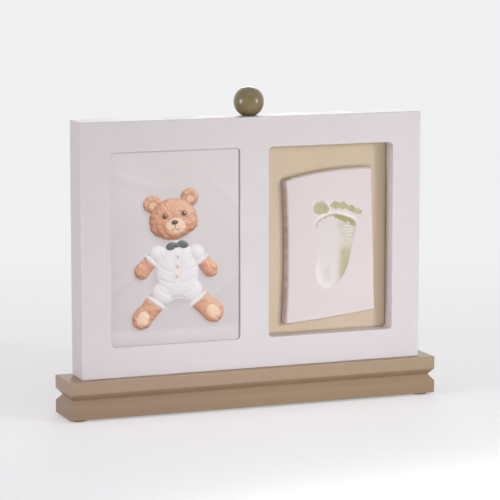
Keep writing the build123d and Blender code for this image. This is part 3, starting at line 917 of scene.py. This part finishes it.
# The bear as ovals: middle in X and Z, width, length and turn in degrees. Eyes and buttons are only placed
bear_legs = (
    ((-17.5, -41.5, 14.5, 24.0, -36.0), (-25.0, -49.5, 15.5, 17.5, -30.0)),
    ((20.0, -40.0, 15.0, 24.5, 40.0), (28.2, -47.2, 16.0, 18.0, 34.0)),
)
bear_arms = (
    ((-19.0, -9.5, 10.5, 20.0, -44.0), (-25.2, -15.8, 11.5, 12.5, -44.0)),
    ((20.5, -10.0, 10.5, 20.0, 40.0), (26.2, -16.6, 11.5, 12.5, 40.0)),
)
bear_trunk = ((1.0, -18.0, 35.0, 44.0, 3.0), (-2.0, 20.0, 35.0, 31.0, 7.0))
head_ovals = (
    (-2.0, 20.4, 35.5, 30.0, 7.0),
    (-11.0, 15.0, 15.0, 13.0, 0.0),
    (9.0, 17.2, 15.0, 13.0, 0.0),
)
head_shade_oval = (-0.8, 18.2, 34.0, 30.0, 0.0)
ears = ((-17.2, 31.6, 13.5, 13.0, 20.0), (10.8, 35.6, 13.5, 13.0, -8.0))
muzzle_oval = (0.2, 14.9, 15.5, 12.0, 7.0)
muzzle_shade_oval = (-0.1, 14.3, 18.5, 14.6, 7.0)
nose_oval = (-0.5, 18.0, 5.2, 3.5, 7.0)
eyes = ((-8.0, 22.4), (6.4, 24.2))
bow_knot = (1.2, 1.6, 3.2, 3.7, 0.0)
button_heights = (-6.5, -13.5, -20.5)
romper_ovals = (
    (1.0, -17.5, 33.0, 41.0, 3.0),
    (-14.0, -4.6, 12.5, 13.5, -44.0),
    (16.0, -5.0, 12.5, 13.5, 40.0),
    (-10.0, -33.5, 17.5, 16.0, -36.0),
    (12.0, -32.5, 17.5, 16.0, 38.0),
)
romper_cuffs = (
    (-18.2, -8.8, 12.8, 3.4, -44.0),
    (20.0, -9.7, 12.8, 3.4, 40.0),
    (-14.4, -39.2, 17.0, 3.6, -36.0),
    (16.6, -38.2, 17.0, 3.6, 38.0),
    (0.8, 2.6, 16.5, 5.2, 5.0),
)

# The romper's folds: two ends, the sag between them, the width and the depth
romper_folds = (
    ((-12.5, -13.0), (-2.5, -17.5), 0.8, 0.9, 0.55),
    ((5.0, -18.0), (15.0, -14.0), 0.9, 0.9, 0.50),
    ((-12.0, -22.0), (-1.0, -25.5), 1.2, 1.0, 0.60),
    ((4.0, -26.0), (14.5, -22.0), 1.1, 1.0, 0.55),
    ((-13.0, -29.5), (-4.0, -34.5), 0.6, 1.0, 0.70),
    ((6.5, -34.0), (15.0, -28.5), 0.6, 1.0, 0.70),
    ((-12.5, -1.5), (-8.5, -10.5), -0.6, 0.9, 0.60),
    ((11.0, -11.0), (14.8, -2.0), 0.6, 0.9, 0.60),
    ((-4.5, -37.5), (7.0, -37.0), -1.6, 0.9, 0.50),
)


def fur_relief(x, z, middle_x, middle_z):
    """The height of short fur whose strands run outwards from a shape's middle."""
    around = np.arctan2(z - middle_z, x - middle_x)
    radius = np.hypot(x - middle_x, z - middle_z)
    clumps = noise_field(x, z, 2.6, 24)
    strands = noise_field(around * 9.0 + 0.4 * clumps, radius * 0.42, 0.75, 23)
    return 0.20 * strands + 0.34 * clumps + 0.10 * noise_field(x, z, 1.1, 25)


def knit_relief(x, z, *_):
    """The height of a fine knit, in rows that sag a little."""
    return 0.10 * np.sin(z * 3.6 + 0.7 * np.sin(x * 0.35)) * np.sin(x * 4.0)


def plain_relief(x, *_):
    """The height of a smooth surface: nothing to add."""
    return np.zeros_like(x)


fur_coat = (fur_colour, fur_light, fur_dark, fur_relief)
muzzle_coat = (muzzle_colour, muzzle_light, fur_colour, fur_relief)
knit_coat = (knit_colour, knit_light, knit_shade, knit_relief)
button_coat = (muzzle_colour, muzzle_light, fur_dark, plain_relief)
eye_coat = (eye_colour, eye_shine, eye_colour, plain_relief)
nose_coat = (nose_colour, nose_shine, eye_colour, plain_relief)
bow_coat = (bow_colour, bow_light, bow_dark, plain_relief)


class Picture:
    """A picture as it is painted: its points' places in millimetres from the middle, and their colours."""

    def __init__(self, x, z, colour):
        self.x = x
        self.z = z
        self.colour = colour

    def tint(self, target, share):
        """Moves the colours towards one colour."""
        self.colour = tint(self.colour, target, share)

    def shade(self, oval, strength, reach=1.35, tone=blanket_shadow):
        """The soft shadow of a shape, down and to the left of it."""
        middle_x, middle_z, width, length, turn = oval
        rim = in_oval(self.x, self.z, middle_x - 1.6, middle_z - 1.8, width * reach, length * reach, turn)
        self.tint(tone, strength * smoothly(1.0 - rim, 0.0, 0.55))

    def plump(self, ovals, coat, plump=7.0, soft=0.6, folds=()):
        """Joined ovals as one plump shape, lit from the upper right. A coat is three colours and a relief."""
        base, light, dark, relief = coat
        surface = relief(self.x, self.z, ovals[0][0], ovals[0][1])
        inside = joined_ovals(self.x, self.z, ovals) + surface * 0.9
        depth = np.clip(inside, 0.0, plump)
        height = np.sqrt(2 * plump * depth - depth**2) * 0.62 + surface
        for start, end, sag, width, drop in folds:
            height = height - drop * fold_shape(self.x, self.z, start, end, sag, width)
        slope_z, slope_x = np.gradient(height, self.z[:, 0], self.x[0])
        lit = light_from[2] - light_from[0] * slope_x - light_from[1] * slope_z
        lit = lit / np.sqrt(1 + slope_x**2 + slope_z**2)
        shaded = tint(np.broadcast_to(np.asarray(dark), self.colour.shape), base, smoothly(lit, 0.05, 0.74))
        shaded = tint(shaded, light, smoothly(lit, 0.72, 1.0))
        self.colour = self.colour + (shaded - self.colour) * smoothly(inside, -soft / 2, soft / 2)[..., None]


def joined_ovals(x, z, ovals, softness=0.9):
    """How far inside the joined outline of several ovals each point lies, in millimetres."""
    total = 1e-12
    for oval in ovals:
        inside = (1 - in_oval(x, z, *oval)) * min(oval[2], oval[3]) / 2
        total = total + np.exp(np.clip(inside, -18, None) / softness)
    return softness * np.log(total)


def fold_shape(x, z, start, end, sag, width):
    """1 along a thin line between two points that sags at its middle, and 0 away from it."""
    share = np.clip((x - start[0]) / (end[0] - start[0]), 0.0, 1.0)
    height = start[1] + (end[1] - start[1]) * share - 4 * sag * share * (1 - share)
    ends = smoothly(x, start[0] - 0.4, start[0] + 0.8) * smoothly(-x, -end[0] - 0.4, -end[0] + 0.8)
    return ends * hump(z - height, width)


def moved(oval, x, z):
    """An oval shifted sideways and up."""
    return (oval[0] + x, oval[1] + z, *oval[2:])


def blanket_colours(x, z):
    """A pale blanket, brighter at the top, with soft folds and a fine knit."""
    rise = smoothly(z, -75, 60)
    colour = np.asarray(blanket_low) + (np.asarray(blanket_high) - np.asarray(blanket_low)) * rise[..., None]
    broad = noise_field(x, z, 42, 31) + 0.5 * noise_field(x, z, 18, 32)
    colour = colour * (1 + 0.030 * broad)[..., None]
    for start_x, start_z, slope, bend, width in blanket_folds:
        along = x - start_x
        off = (z - start_z - slope * along - bend * along**2) / math.hypot(1, slope)
        fold = hump(off, width) - 0.9 * hump(off + 1.3 * width, width)
        colour = colour * (1 + 0.045 * fold * hump(along - 22, 26))[..., None]
    knit = np.sin(x * 2.6 + 0.5 * np.sin(z * 1.3)) * np.sin(z * 2.6)
    return colour * (1 + 0.006 * knit)[..., None]


def paint_romper(picture):
    """The bear's knitted romper: one garment with sleeves, cuffs, folds, a placket and buttons."""
    picture.plump(romper_ovals, knit_coat, 9.0, 0.8, romper_folds)
    for cuff in romper_cuffs:
        picture.shade(moved(cuff, 1.2, 1.0), 0.30, 1.10, knit_shade)
        picture.plump((cuff,), knit_coat, 2.2)
    placket = picture.x - 1.6 - 0.05 * (picture.z + 17.5)
    down_front = smoothly(picture.z, -29.0, -27.0) * smoothly(-0.5 - picture.z, 0.0, 2.0)
    for edge in (-2.5, 2.5):
        picture.tint(knit_shade, 0.42 * down_front * hump(placket - edge, 0.32))
        picture.tint(knit_light, 0.50 * down_front * hump(placket - edge + 0.6, 0.32))
    for button_z in button_heights:
        button = (1.6 + 0.05 * (button_z + 17.5), button_z, 2.4, 2.4, 0.0)
        picture.shade(moved(button, 1.2, 1.2), 0.55, 1.5, knit_shade)
        picture.plump((button,), button_coat, 1.0, 0.5)


def paint_head(picture):
    """The bear's head: ears, fur, muzzle, eyes, nose and stitched mouth, tipped a little to one side."""
    x, z = picture.x, picture.z
    for ear in ears:
        picture.shade(ear, 0.38)
        picture.plump((ear,), fur_coat, 4.0)
        rim = in_oval(x, z, ear[0] + 0.5, ear[1] - 1.0, 7.0, 6.4, ear[4])
        picture.tint(fur_dark, 0.50 * smoothly(1.35 - rim, 0.0, 0.5))
        picture.tint(muzzle_colour, 0.80 * smoothly(1.05 - rim, 0.0, 0.45))
    picture.shade(head_shade_oval, 0.45, 1.08)
    picture.plump(head_ovals, fur_coat, 12.0)
    rim = in_oval(x, z, *muzzle_shade_oval)
    picture.tint(fur_dark, 0.55 * smoothly(1.0 - rim, 0.0, 0.32))
    picture.plump((muzzle_oval,), muzzle_coat, 5.0, 1.2)
    for eye_x, eye_z in eyes:
        socket = in_oval(x, z, eye_x, eye_z + 0.2, 6.8, 6.6, 0.0)
        picture.tint(fur_dark, 0.62 * smoothly(1.0 - socket, 0.0, 0.6))
        picture.plump(((eye_x, eye_z, 3.3, 3.4, 0.0),), eye_coat, 1.6, 0.5)
        glint = in_oval(x, z, eye_x + 0.55, eye_z + 0.6, 1.0, 1.0, 0.0)
        picture.tint(glint_colour, smoothly(1.2 - glint, 0.0, 0.6))
    picture.plump((nose_oval,), nose_coat, 1.6, 0.5)
    mouth = fold_shape(x, z, (-3.4, 13.0), (0.0, 14.0), 1.1, 0.34)
    mouth = np.maximum(mouth, fold_shape(x, z, (0.0, 14.0), (3.4, 13.6), 1.2, 0.34))
    stem = smoothly(z, 13.6, 14.2) * smoothly(16.6 - z, 0.0, 0.5) * hump(x + 0.2, 0.34)
    picture.tint(thread_colour, 0.85 * np.maximum(mouth, stem))


def paint_bear(picture):
    """A generic plush bear that lies a little askew on the blanket, in a pale romper with a dark bow."""
    outline = [oval for limb in (*bear_legs, *bear_arms) for oval in limb] + [*bear_trunk]
    for reach, strength in ((1.35, 0.30), (1.12, 0.34)):
        for shape in outline:
            picture.shade(shape, strength, reach)
    for limb in (*bear_legs, *bear_arms):
        picture.plump(limb, fur_coat, 6.0)
    for _, foot in bear_legs:
        sole_x, sole_z = foot[0] + 0.2, foot[1] - 0.9
        rim = in_oval(picture.x, picture.z, sole_x, sole_z, 10.6, 12.4, foot[4])
        picture.tint(fur_dark, 0.50 * smoothly(1.12 - rim, 0.0, 0.3))
        picture.plump(((sole_x, sole_z, 9.8, 11.6, foot[4]),), muzzle_coat, 4.0, 0.9)
    paint_romper(picture)
    paint_head(picture)
    bow = [(1.2 + side * 4.4, 1.6 + side * 0.5, 8.4, 5.6, -side * 16.0) for side in (-1, 1)]
    for loop in bow:
        picture.shade(moved(loop, 0.8, 0.8), 0.50, 1.15, knit_shade)
    for part in (*bow, bow_knot):
        picture.plump((part,), bow_coat, 2.0)


def make_photo_print():
    """The sheet of photo paper, with its picture painted on a fine grid of points."""
    low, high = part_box("photo_print")
    columns = int((high.x - low.x) / photo_point_spacing) + 1
    rows = int((high.z - low.z) / photo_point_spacing) + 1
    x, z = np.meshgrid(np.linspace(low.x, high.x, columns), np.linspace(low.z, high.z, rows))
    front = np.stack([x, np.full_like(x, low.y + photo_air_gap), z], axis=-1)
    vertices, faces = slab_mesh(front, high.y)
    piece = new_piece("plush_bear_print", vertices, faces, ["photo_print"], smooth=False)
    across, up = (x - (low.x + high.x) / 2) / mm, (z - (low.z + high.z) / 2) / mm
    picture = Picture(across, up, blanket_colours(across, up))
    paint_bear(picture)
    paper = np.full((len(vertices) - x.size, 3), paper_white)
    paint_points(piece, "picture", np.concatenate([np.clip(picture.colour, 0.0, 1.0).reshape(-1, 3), paper]))


make_photo_print()


def new_geometry_tree(name, floats, others):
    """A Geometry Nodes tree with floats, inputs of other kinds and a material: its wires and its outputs."""
    inputs = {"Geometry": "Geometry", **dict.fromkeys(floats, "Float"), **others, "Material": "Material"}
    return new_tree("GeometryNodeTree", name, inputs, {"Geometry": "Geometry"})


def vector(x=0.0, y=0.0, z=0.0):
    """A vector from wires and numbers."""
    return wire_from(tree_of(x, y, z), "ShaderNodeCombineXYZ", {0: x, 1: y, 2: z})


def join(*parts):
    """One geometry from several."""
    joined = add_node(parts[0].tree, "GeometryNodeJoinGeometry")
    for part in parts:
        connect(part, joined.inputs[0])
    return Wire(parts[0].tree, joined.outputs[0])


def shift(geometry, **offset):
    """A geometry moved along its axes."""
    inputs = {"Geometry": geometry, "Translation": vector(**offset)}
    return wire_from(geometry.tree, "GeometryNodeTransform", inputs)


def push(geometry, offset):
    """A geometry whose points each move by their own offset."""
    return wire_from(geometry.tree, "GeometryNodeSetPosition", {"Geometry": geometry, "Offset": offset})


def cone(tree, vertices, top, bottom, depth, fill="NGON", **others):
    """A cone, tube or cylinder that stands on its origin."""
    inputs = {"Vertices": vertices, "Radius Top": top, "Radius Bottom": bottom, "Depth": depth}
    return wire_from(tree, "GeometryNodeMeshCone", {**inputs, **others}, fill_type=fill)


def sweep(line, profile):
    """A closed tube of a profile along a line."""
    inputs = {"Curve": line, "Profile Curve": profile, "Fill Caps": True}
    return wire_from(line.tree, "GeometryNodeCurveToMesh", inputs)


def place_on(points, thing, **turn):
    """Copies of a thing on points."""
    inputs = {"Points": points, "Instance": thing, **turn}
    return wire_from(points.tree, "GeometryNodeInstanceOnPoints", inputs)


def turn_by(things, turn):
    """Placed things, each turned by its own angles."""
    return wire_from(things.tree, "GeometryNodeRotateInstances", {"Instances": things, "Rotation": turn})


def finish_tree(geometry, given, result):
    """Ends a tree as the export needs it, with real geometry and its material."""
    real = wire_from(geometry.tree, "GeometryNodeRealizeInstances", {0: geometry})
    inputs = {"Geometry": real, "Material": given["Material"]}
    connect(wire_from(geometry.tree, "GeometryNodeSetMaterial", inputs), result["Geometry"])


def grow(name, tree, points, values, node_names):
    """Runs a tree on loose points, and keeps the result as a plain mesh that stands for CAD nodes."""
    mesh = bpy.data.meshes.new(name)
    mesh.from_pydata([tuple(point) for point in points], [], [])
    piece = bpy.data.objects.new(name, mesh)
    bpy.context.scene.collection.objects.link(piece)
    modifier = piece.modifiers.new(name, "NODES")
    modifier.node_group = tree
    sockets = [socket for socket in tree.interface.items_tree if socket.in_out == "INPUT"]
    identifiers = {socket.name: socket.identifier for socket in sockets}
    for input_name, value in {**values, "Material": finish_of[node_names[0]]}.items():
        modifier[identifiers[input_name]] = value
    bpy.context.view_layer.update()
    made = bpy.data.meshes.new_from_object(piece.evaluated_get(bpy.context.evaluated_depsgraph_get()))
    piece.modifiers.remove(modifier)
    piece.data = made
    stand_for(piece, node_names)
    return piece


# The screws: pan heads on the turn-buttons and countersunk ones under the plinth, both with a cross recess
screw_sizes = ("Head Radius", "Neck Radius", "Head Height", "Dome", "Shank Radius", "Pitch", "Shank Length")
pan_sizes = (2.9 * mm, 2.9 * mm, 0.9 * mm, 0.8 * mm, 1.5 * mm, 1.1 * mm, 10.0 * mm)
sunk_sizes = (4.0 * mm, 2.0 * mm, 2.0 * mm, 0.0, 2.0 * mm, 1.8 * mm)
sunk_front_x = 60.0 * mm
screw_tip_share = 0.14
core_share = 0.74
recess_length_share = 1.05
recess_width_share = 0.24
recess_depth = 0.8 * mm


def make_screw_tree():
    """Cross-recess screws on points: a domed or countersunk head, a core with its tip, and a thread."""
    tree, given, result = new_geometry_tree("cross_screws", screw_sizes, {"Aim": "Rotation", "Seed": "Int"})
    sizes = map(given.get, screw_sizes)
    head_radius, neck_radius, head_height, dome, shank_radius, pitch, shank_length = sizes
    rings = {"Fill Segments": 7}
    head = cone(tree, 40, head_radius, neck_radius, head_height, "TRIANGLE_FAN", **rings)
    x, y, z = split(wire_from(tree, "GeometryNodeInputPosition"))
    share = calculate("SQRT", x * x + y * y) / head_radius
    on_top = calculate("GREATER_THAN", z, head_height * 0.5)
    head = push(head, vector(z=dome * (1.0 - share * share) * on_top))
    cut = add_node(tree, "GeometryNodeMeshBoolean", {"Mesh 1": head}, operation="DIFFERENCE", solver="EXACT")
    long_side, short_side = head_radius * recess_length_share, head_radius * recess_width_share
    for sides in ((long_side, short_side), (short_side, long_side)):
        arm = wire_from(tree, "GeometryNodeMeshCube", {"Size": vector(*sides, 2 * recess_depth)})
        connect(shift(arm, z=head_height + dome), cut.inputs["Mesh 2"])

    core_radius = shank_radius * core_share
    tip_length = shank_length * screw_tip_share
    straight = shank_length - tip_length
    core = shift(cone(tree, 24, core_radius, core_radius, straight), z=-straight)
    tip = shift(cone(tree, 24, core_radius, 0.0, tip_length), z=-shank_length)
    spiral = {"Resolution": 22, "Rotations": straight / pitch, "Height": straight}
    radii = {"Start Radius": core_radius, "End Radius": core_radius}
    line = wire_from(tree, "GeometryNodeCurveSpiral", {**spiral, **radii})
    profile = {"Resolution": 3, "Radius": shank_radius - core_radius}
    thread = sweep(line, wire_from(tree, "GeometryNodeCurvePrimitiveCircle", profile))

    screw = join(Wire(tree, cut.outputs["Mesh"]), core, tip, shift(thread, z=-straight))
    angles = {2: 0.0, 3: math.pi, "Seed": given["Seed"]}
    angle = wire_from(tree, "FunctionNodeRandomValue", angles, 1, data_type="FLOAT")
    placed = place_on(given["Geometry"], screw, Rotation=given["Aim"])
    finish_tree(turn_by(placed, vector(z=angle)), given, result)
    return tree


def make_screws():
    """The six pan-head screws of the turn-buttons and the four countersunk ones of the plinth."""
    tree = make_screw_tree()
    _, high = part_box("turn_button_screws")
    pan = dict(zip(screw_sizes, pan_sizes))
    seat_y = high.y - pan["Head Height"] - pan["Dome"]
    seats = [(row["pos_m"][0], seat_y, row["pos_m"][2]) for row in frame["joints"]]
    values = {**pan, "Aim": (-math.pi / 2, 0.0, 0.0), "Seed": 4}
    grow("turn_button_pan_screws", tree, seats, values, ["turn_button_screws"])
    low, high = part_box("plinth_screws")
    head_radius, _, head_height = sunk_sizes[:3]
    rear_x, out_y, seat_z = high.x - head_radius, high.y - head_radius, low.z + head_height
    places = [(side * x, y, seat_z) for x, y in ((sunk_front_x, -out_y), (rear_x, out_y)) for side in (-1, 1)]
    sunk = dict(zip(screw_sizes, (*sunk_sizes, high.z - low.z - head_height)))
    values = {**sunk, "Aim": (math.pi, 0.0, 0.0), "Seed": 9}
    grow("plinth_countersunk_screws", tree, places, values, ["plinth_screws"])


make_screws()


# The card spacer behind the photo: plies of fluted board, one on another
card_plies = 5
card_paper = 0.35 * mm
flute_pitch = 7.6 * mm
flute_steps = 12
card_sizes = ("Width", "Height", "Ply", "Paper", "Pitch")


def make_fluted_card_tree():
    """Fluted board: liners with a waved sheet between each pair, its flutes upright."""
    tree, given, result = new_geometry_tree("fluted_card", card_sizes, {"Plies": "Int", "Samples": "Int"})
    width, height, ply, paper, pitch = map(given.get, card_sizes)
    ply_points, liner_points = (
        wire_from(tree, "GeometryNodeMeshLine", {"Count": count, "Offset": vector(y=ply)})
        for count in (given["Plies"], given["Plies"] + 1.0))
    sheet = wire_from(tree, "GeometryNodeMeshCube", {"Size": vector(width, paper, height)})
    half = width * 0.5
    ends = {"Start": vector(x=-half), "End": vector(x=half)}
    line = wire_from(tree, "GeometryNodeCurvePrimitiveLine", ends)
    line = wire_from(tree, "GeometryNodeResampleCurve", {"Curve": line, "Count": given["Samples"]})
    x = split(wire_from(tree, "GeometryNodeInputPosition"))[0]
    phase = x / pitch * (2 * math.pi)
    line = push(line, vector(y=calculate("SINE", phase) * ((ply - paper * 2.0) * 0.5)))
    line = wire_from(tree, "GeometryNodeSetCurveNormal", {"Curve": line}, mode="Z_UP")
    section = wire_from(tree, "GeometryNodeCurvePrimitiveQuadrilateral", {"Width": paper, "Height": height})
    flutes = shift(place_on(ply_points, sweep(line, section)), y=ply * 0.5)
    finish_tree(join(place_on(liner_points, sheet), flutes), given, result)
    return tree


def make_card_spacer():
    """The spacer as stacked fluted board, in the place of its solid."""
    low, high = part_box("photo_spacer")
    width = high.x - low.x
    ply = (high.y - low.y - card_paper) / card_plies
    sizes = (width, high.z - low.z, ply, card_paper, flute_pitch)
    values = {"Plies": card_plies, "Samples": int(width / flute_pitch * flute_steps)}
    values = {**dict(zip(card_sizes, sizes)), **values}
    piece = grow("fluted_card_spacer", make_fluted_card_tree(), [(0, 0, 0)], values, ["photo_spacer"])
    offset = Vector(((low.x + high.x) / 2, low.y + card_paper / 2, (low.z + high.z) / 2))
    for vertex in piece.data.vertices:
        vertex.co += offset


make_card_spacer()


# The felt feet: pressed discs with loose fibres round their sides, which root above the lowest part
felt_radius = 6.0 * mm
felt_fibre_length = 0.65 * mm
felt_fibre_radius = 0.03 * mm
felt_fibres_per_square_metre = 6.0e6
felt_fibre_tilt = 0.45
felt_unevenness = 0.10 * mm
felt_lowest_root_share = -0.10
felt_sizes = ("Radius", "Height", "Fibre Length", "Fibre Radius", "Density", "Tilt", "Unevenness")


def make_felt_tree():
    """Felt discs on points, slightly uneven, with short fibres that stand out of their sides."""
    tree, given, result = new_geometry_tree("felt_discs", felt_sizes, {"Seed": "Int"})
    radius, height, fibre_length, fibre_radius, density, tilt, unevenness = map(given.get, felt_sizes)
    disc_inputs = {"Vertices": 48, "Side Segments": 4, "Fill Segments": 6, "Radius": radius, "Depth": height}
    disc = add_node(tree, "GeometryNodeMeshCylinder", disc_inputs, fill_type="TRIANGLE_FAN")
    place = wire_from(tree, "GeometryNodeInputPosition")
    outward = calculate_vector("NORMALIZE", calculate_vector("MULTIPLY", place, (1.0, 1.0, 0.0)))
    inward = {0: outward, "Scale": -(noise(place, 900.0) * unevenness)}
    body = push(Wire(tree, disc.outputs["Mesh"]),
                wire_from(tree, "ShaderNodeVectorMath", inward, operation="SCALE"))
    clear = calculate("GREATER_THAN", split(place)[2], height * felt_lowest_root_share)
    roots = add_node(tree, "GeometryNodeDistributePointsOnFaces", {
        "Mesh": body, "Selection": clear * Wire(tree, disc.outputs["Side"]), "Density": density,
        "Seed": given["Seed"]})
    fibre = cone(tree, 3, 0.0, fibre_radius, fibre_length, fill="NONE")
    tilts = {0: vector(-tilt, -tilt), 1: vector(tilt, tilt), "Seed": given["Seed"]}
    angles = wire_from(tree, "FunctionNodeRandomValue", tilts, data_type="FLOAT_VECTOR")
    points, outwards = Wire(tree, roots.outputs["Points"]), Wire(tree, roots.outputs["Rotation"])
    fibres = place_on(points, fibre, Rotation=outwards)
    finish_tree(place_on(given["Geometry"], join(body, turn_by(fibres, angles))), given, result)
    return tree


def make_felt_feet():
    """The four felt feet under the plinth's corners."""
    low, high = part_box("foot_pads")
    out_x, out_y, middle_z = high.x - felt_radius, high.y - felt_radius, (low.z + high.z) / 2
    places = [(side * out_x, end * out_y, middle_z) for side in (-1, 1) for end in (-1, 1)]
    sizes = (felt_radius, high.z - low.z, felt_fibre_length, felt_fibre_radius, felt_fibres_per_square_metre,
             felt_fibre_tilt, felt_unevenness)
    grow("felt_feet", make_felt_tree(), places, {**dict(zip(felt_sizes, sizes)), "Seed": 6}, ["foot_pads"])


make_felt_feet()


def aim(thing, place, target):
    """Places a camera or a lamp and turns it to look at a point."""
    thing.location = place
    thing.rotation_mode = "QUATERNION"
    thing.rotation_quaternion = (target - place).to_track_quat("-Z", "Y")
    bpy.context.scene.collection.objects.link(thing)


def make_camera():
    """The camera, on the side and at the height from which the frame is pictured."""
    camera = bpy.data.objects.new("camera", bpy.data.cameras.new("camera"))
    camera.data.lens = camera_lens
    camera.data.clip_start, camera.data.clip_end = camera_clip
    aim(camera, camera_place, camera_target)
    bpy.context.scene.camera = camera


def make_lamp(name, azimuth, elevation, distance, width, height, power, colour, in_gloss):
    """A soft box on a circle round the frame. Azimuth 0 is in front of it, and 90 is to its right."""
    lamp = bpy.data.lights.new(name, "AREA")
    lamp.shape, lamp.size, lamp.size_y = "ELLIPSE", width, height
    lamp.energy, lamp.color = power, colour
    turn, tilt = math.radians(azimuth), math.radians(elevation)
    direction = Vector((math.sin(turn) * math.cos(tilt), -math.cos(turn) * math.cos(tilt), math.sin(tilt)))
    box = bpy.data.objects.new(name, lamp)
    box.visible_glossy = in_gloss
    aim(box, camera_target + direction * distance, camera_target)


def seen_rays(tree):
    """1 for the rays of the camera and the gloss, which see the pale room, and 0 for light."""
    rays = add_node(tree, "ShaderNodeLightPath").outputs
    kinds = ("Camera", "Glossy", "Transmission")
    camera, gloss, glass = (Wire(tree, rays[f"Is {kind} Ray"]) for kind in kinds)
    return calculate("MAXIMUM", calculate("MAXIMUM", camera, gloss), glass)


def mix_shaders(share, first, second):
    """A shader between two others."""
    return wire_from(share.tree, "ShaderNodeMixShader", {0: share, 1: first, 2: second})


def make_floor():
    """A pale floor that keeps the frame's shadow and fades into the pale room."""
    mesh = bpy.data.meshes.new("floor")
    corners = [(x * floor_half, y * floor_half, 0.0) for x, y in ((-1, -1), (1, -1), (1, 1), (-1, 1))]
    mesh.from_pydata(corners, [], [(0, 1, 2, 3)])
    floor = bpy.data.objects.new("floor", mesh)
    bpy.context.scene.collection.objects.link(floor)
    material, shader, place = new_material("pale_floor", {"Roughness": 0.9, "Specular IOR Level": 0.1})
    tree = material.node_tree
    feed(shader, blend_colours(mottle(place, 6.0, 0.0, 0.08), floor_colour, floor_cloud_colour))
    distance = wire_from(tree, "ShaderNodeVectorMath", {0: place}, "Value", operation="LENGTH")
    seen = seen_rays(tree)
    room = {"Color": (*room_colour, 1.0)}
    glow = wire_from(tree, "ShaderNodeEmission", room)
    lift = wire_from(tree, "ShaderNodeEmission", {**room, "Strength": seen * floor_lift})
    near = wire_from(tree, "ShaderNodeAddShader", {0: Wire(tree, shader.outputs[0]), 1: lift})
    surface = mix_shaders(remap(distance, floor_fade_start, floor_fade_end) * seen, near, glow)
    connect(surface, tree.nodes["Material Output"].inputs["Surface"])
    mesh.materials.append(material)


def make_world():
    """Even pale light all round, and a pale room where the camera or the gloss looks past the floor."""
    world = bpy.data.worlds.new("pale_room")
    world.use_nodes = True
    tree = world.node_tree
    light = tree.nodes["Background"]
    light.inputs["Color"].default_value = (*world_colour, 1.0)
    light.inputs["Strength"].default_value = world_strength
    room = wire_from(tree, "ShaderNodeBackground", {"Color": (*room_colour, 1.0), "Strength": 1.0})
    surface = mix_shaders(seen_rays(tree), Wire(tree, light.outputs[0]), room)
    connect(surface, tree.nodes["World Output"].inputs["Surface"])
    bpy.context.scene.world = world


make_camera()
for name, lamp in lamps.items():
    make_lamp(name, *lamp)
make_floor()
make_world()
bpy.context.scene.view_settings.view_transform = "Standard"
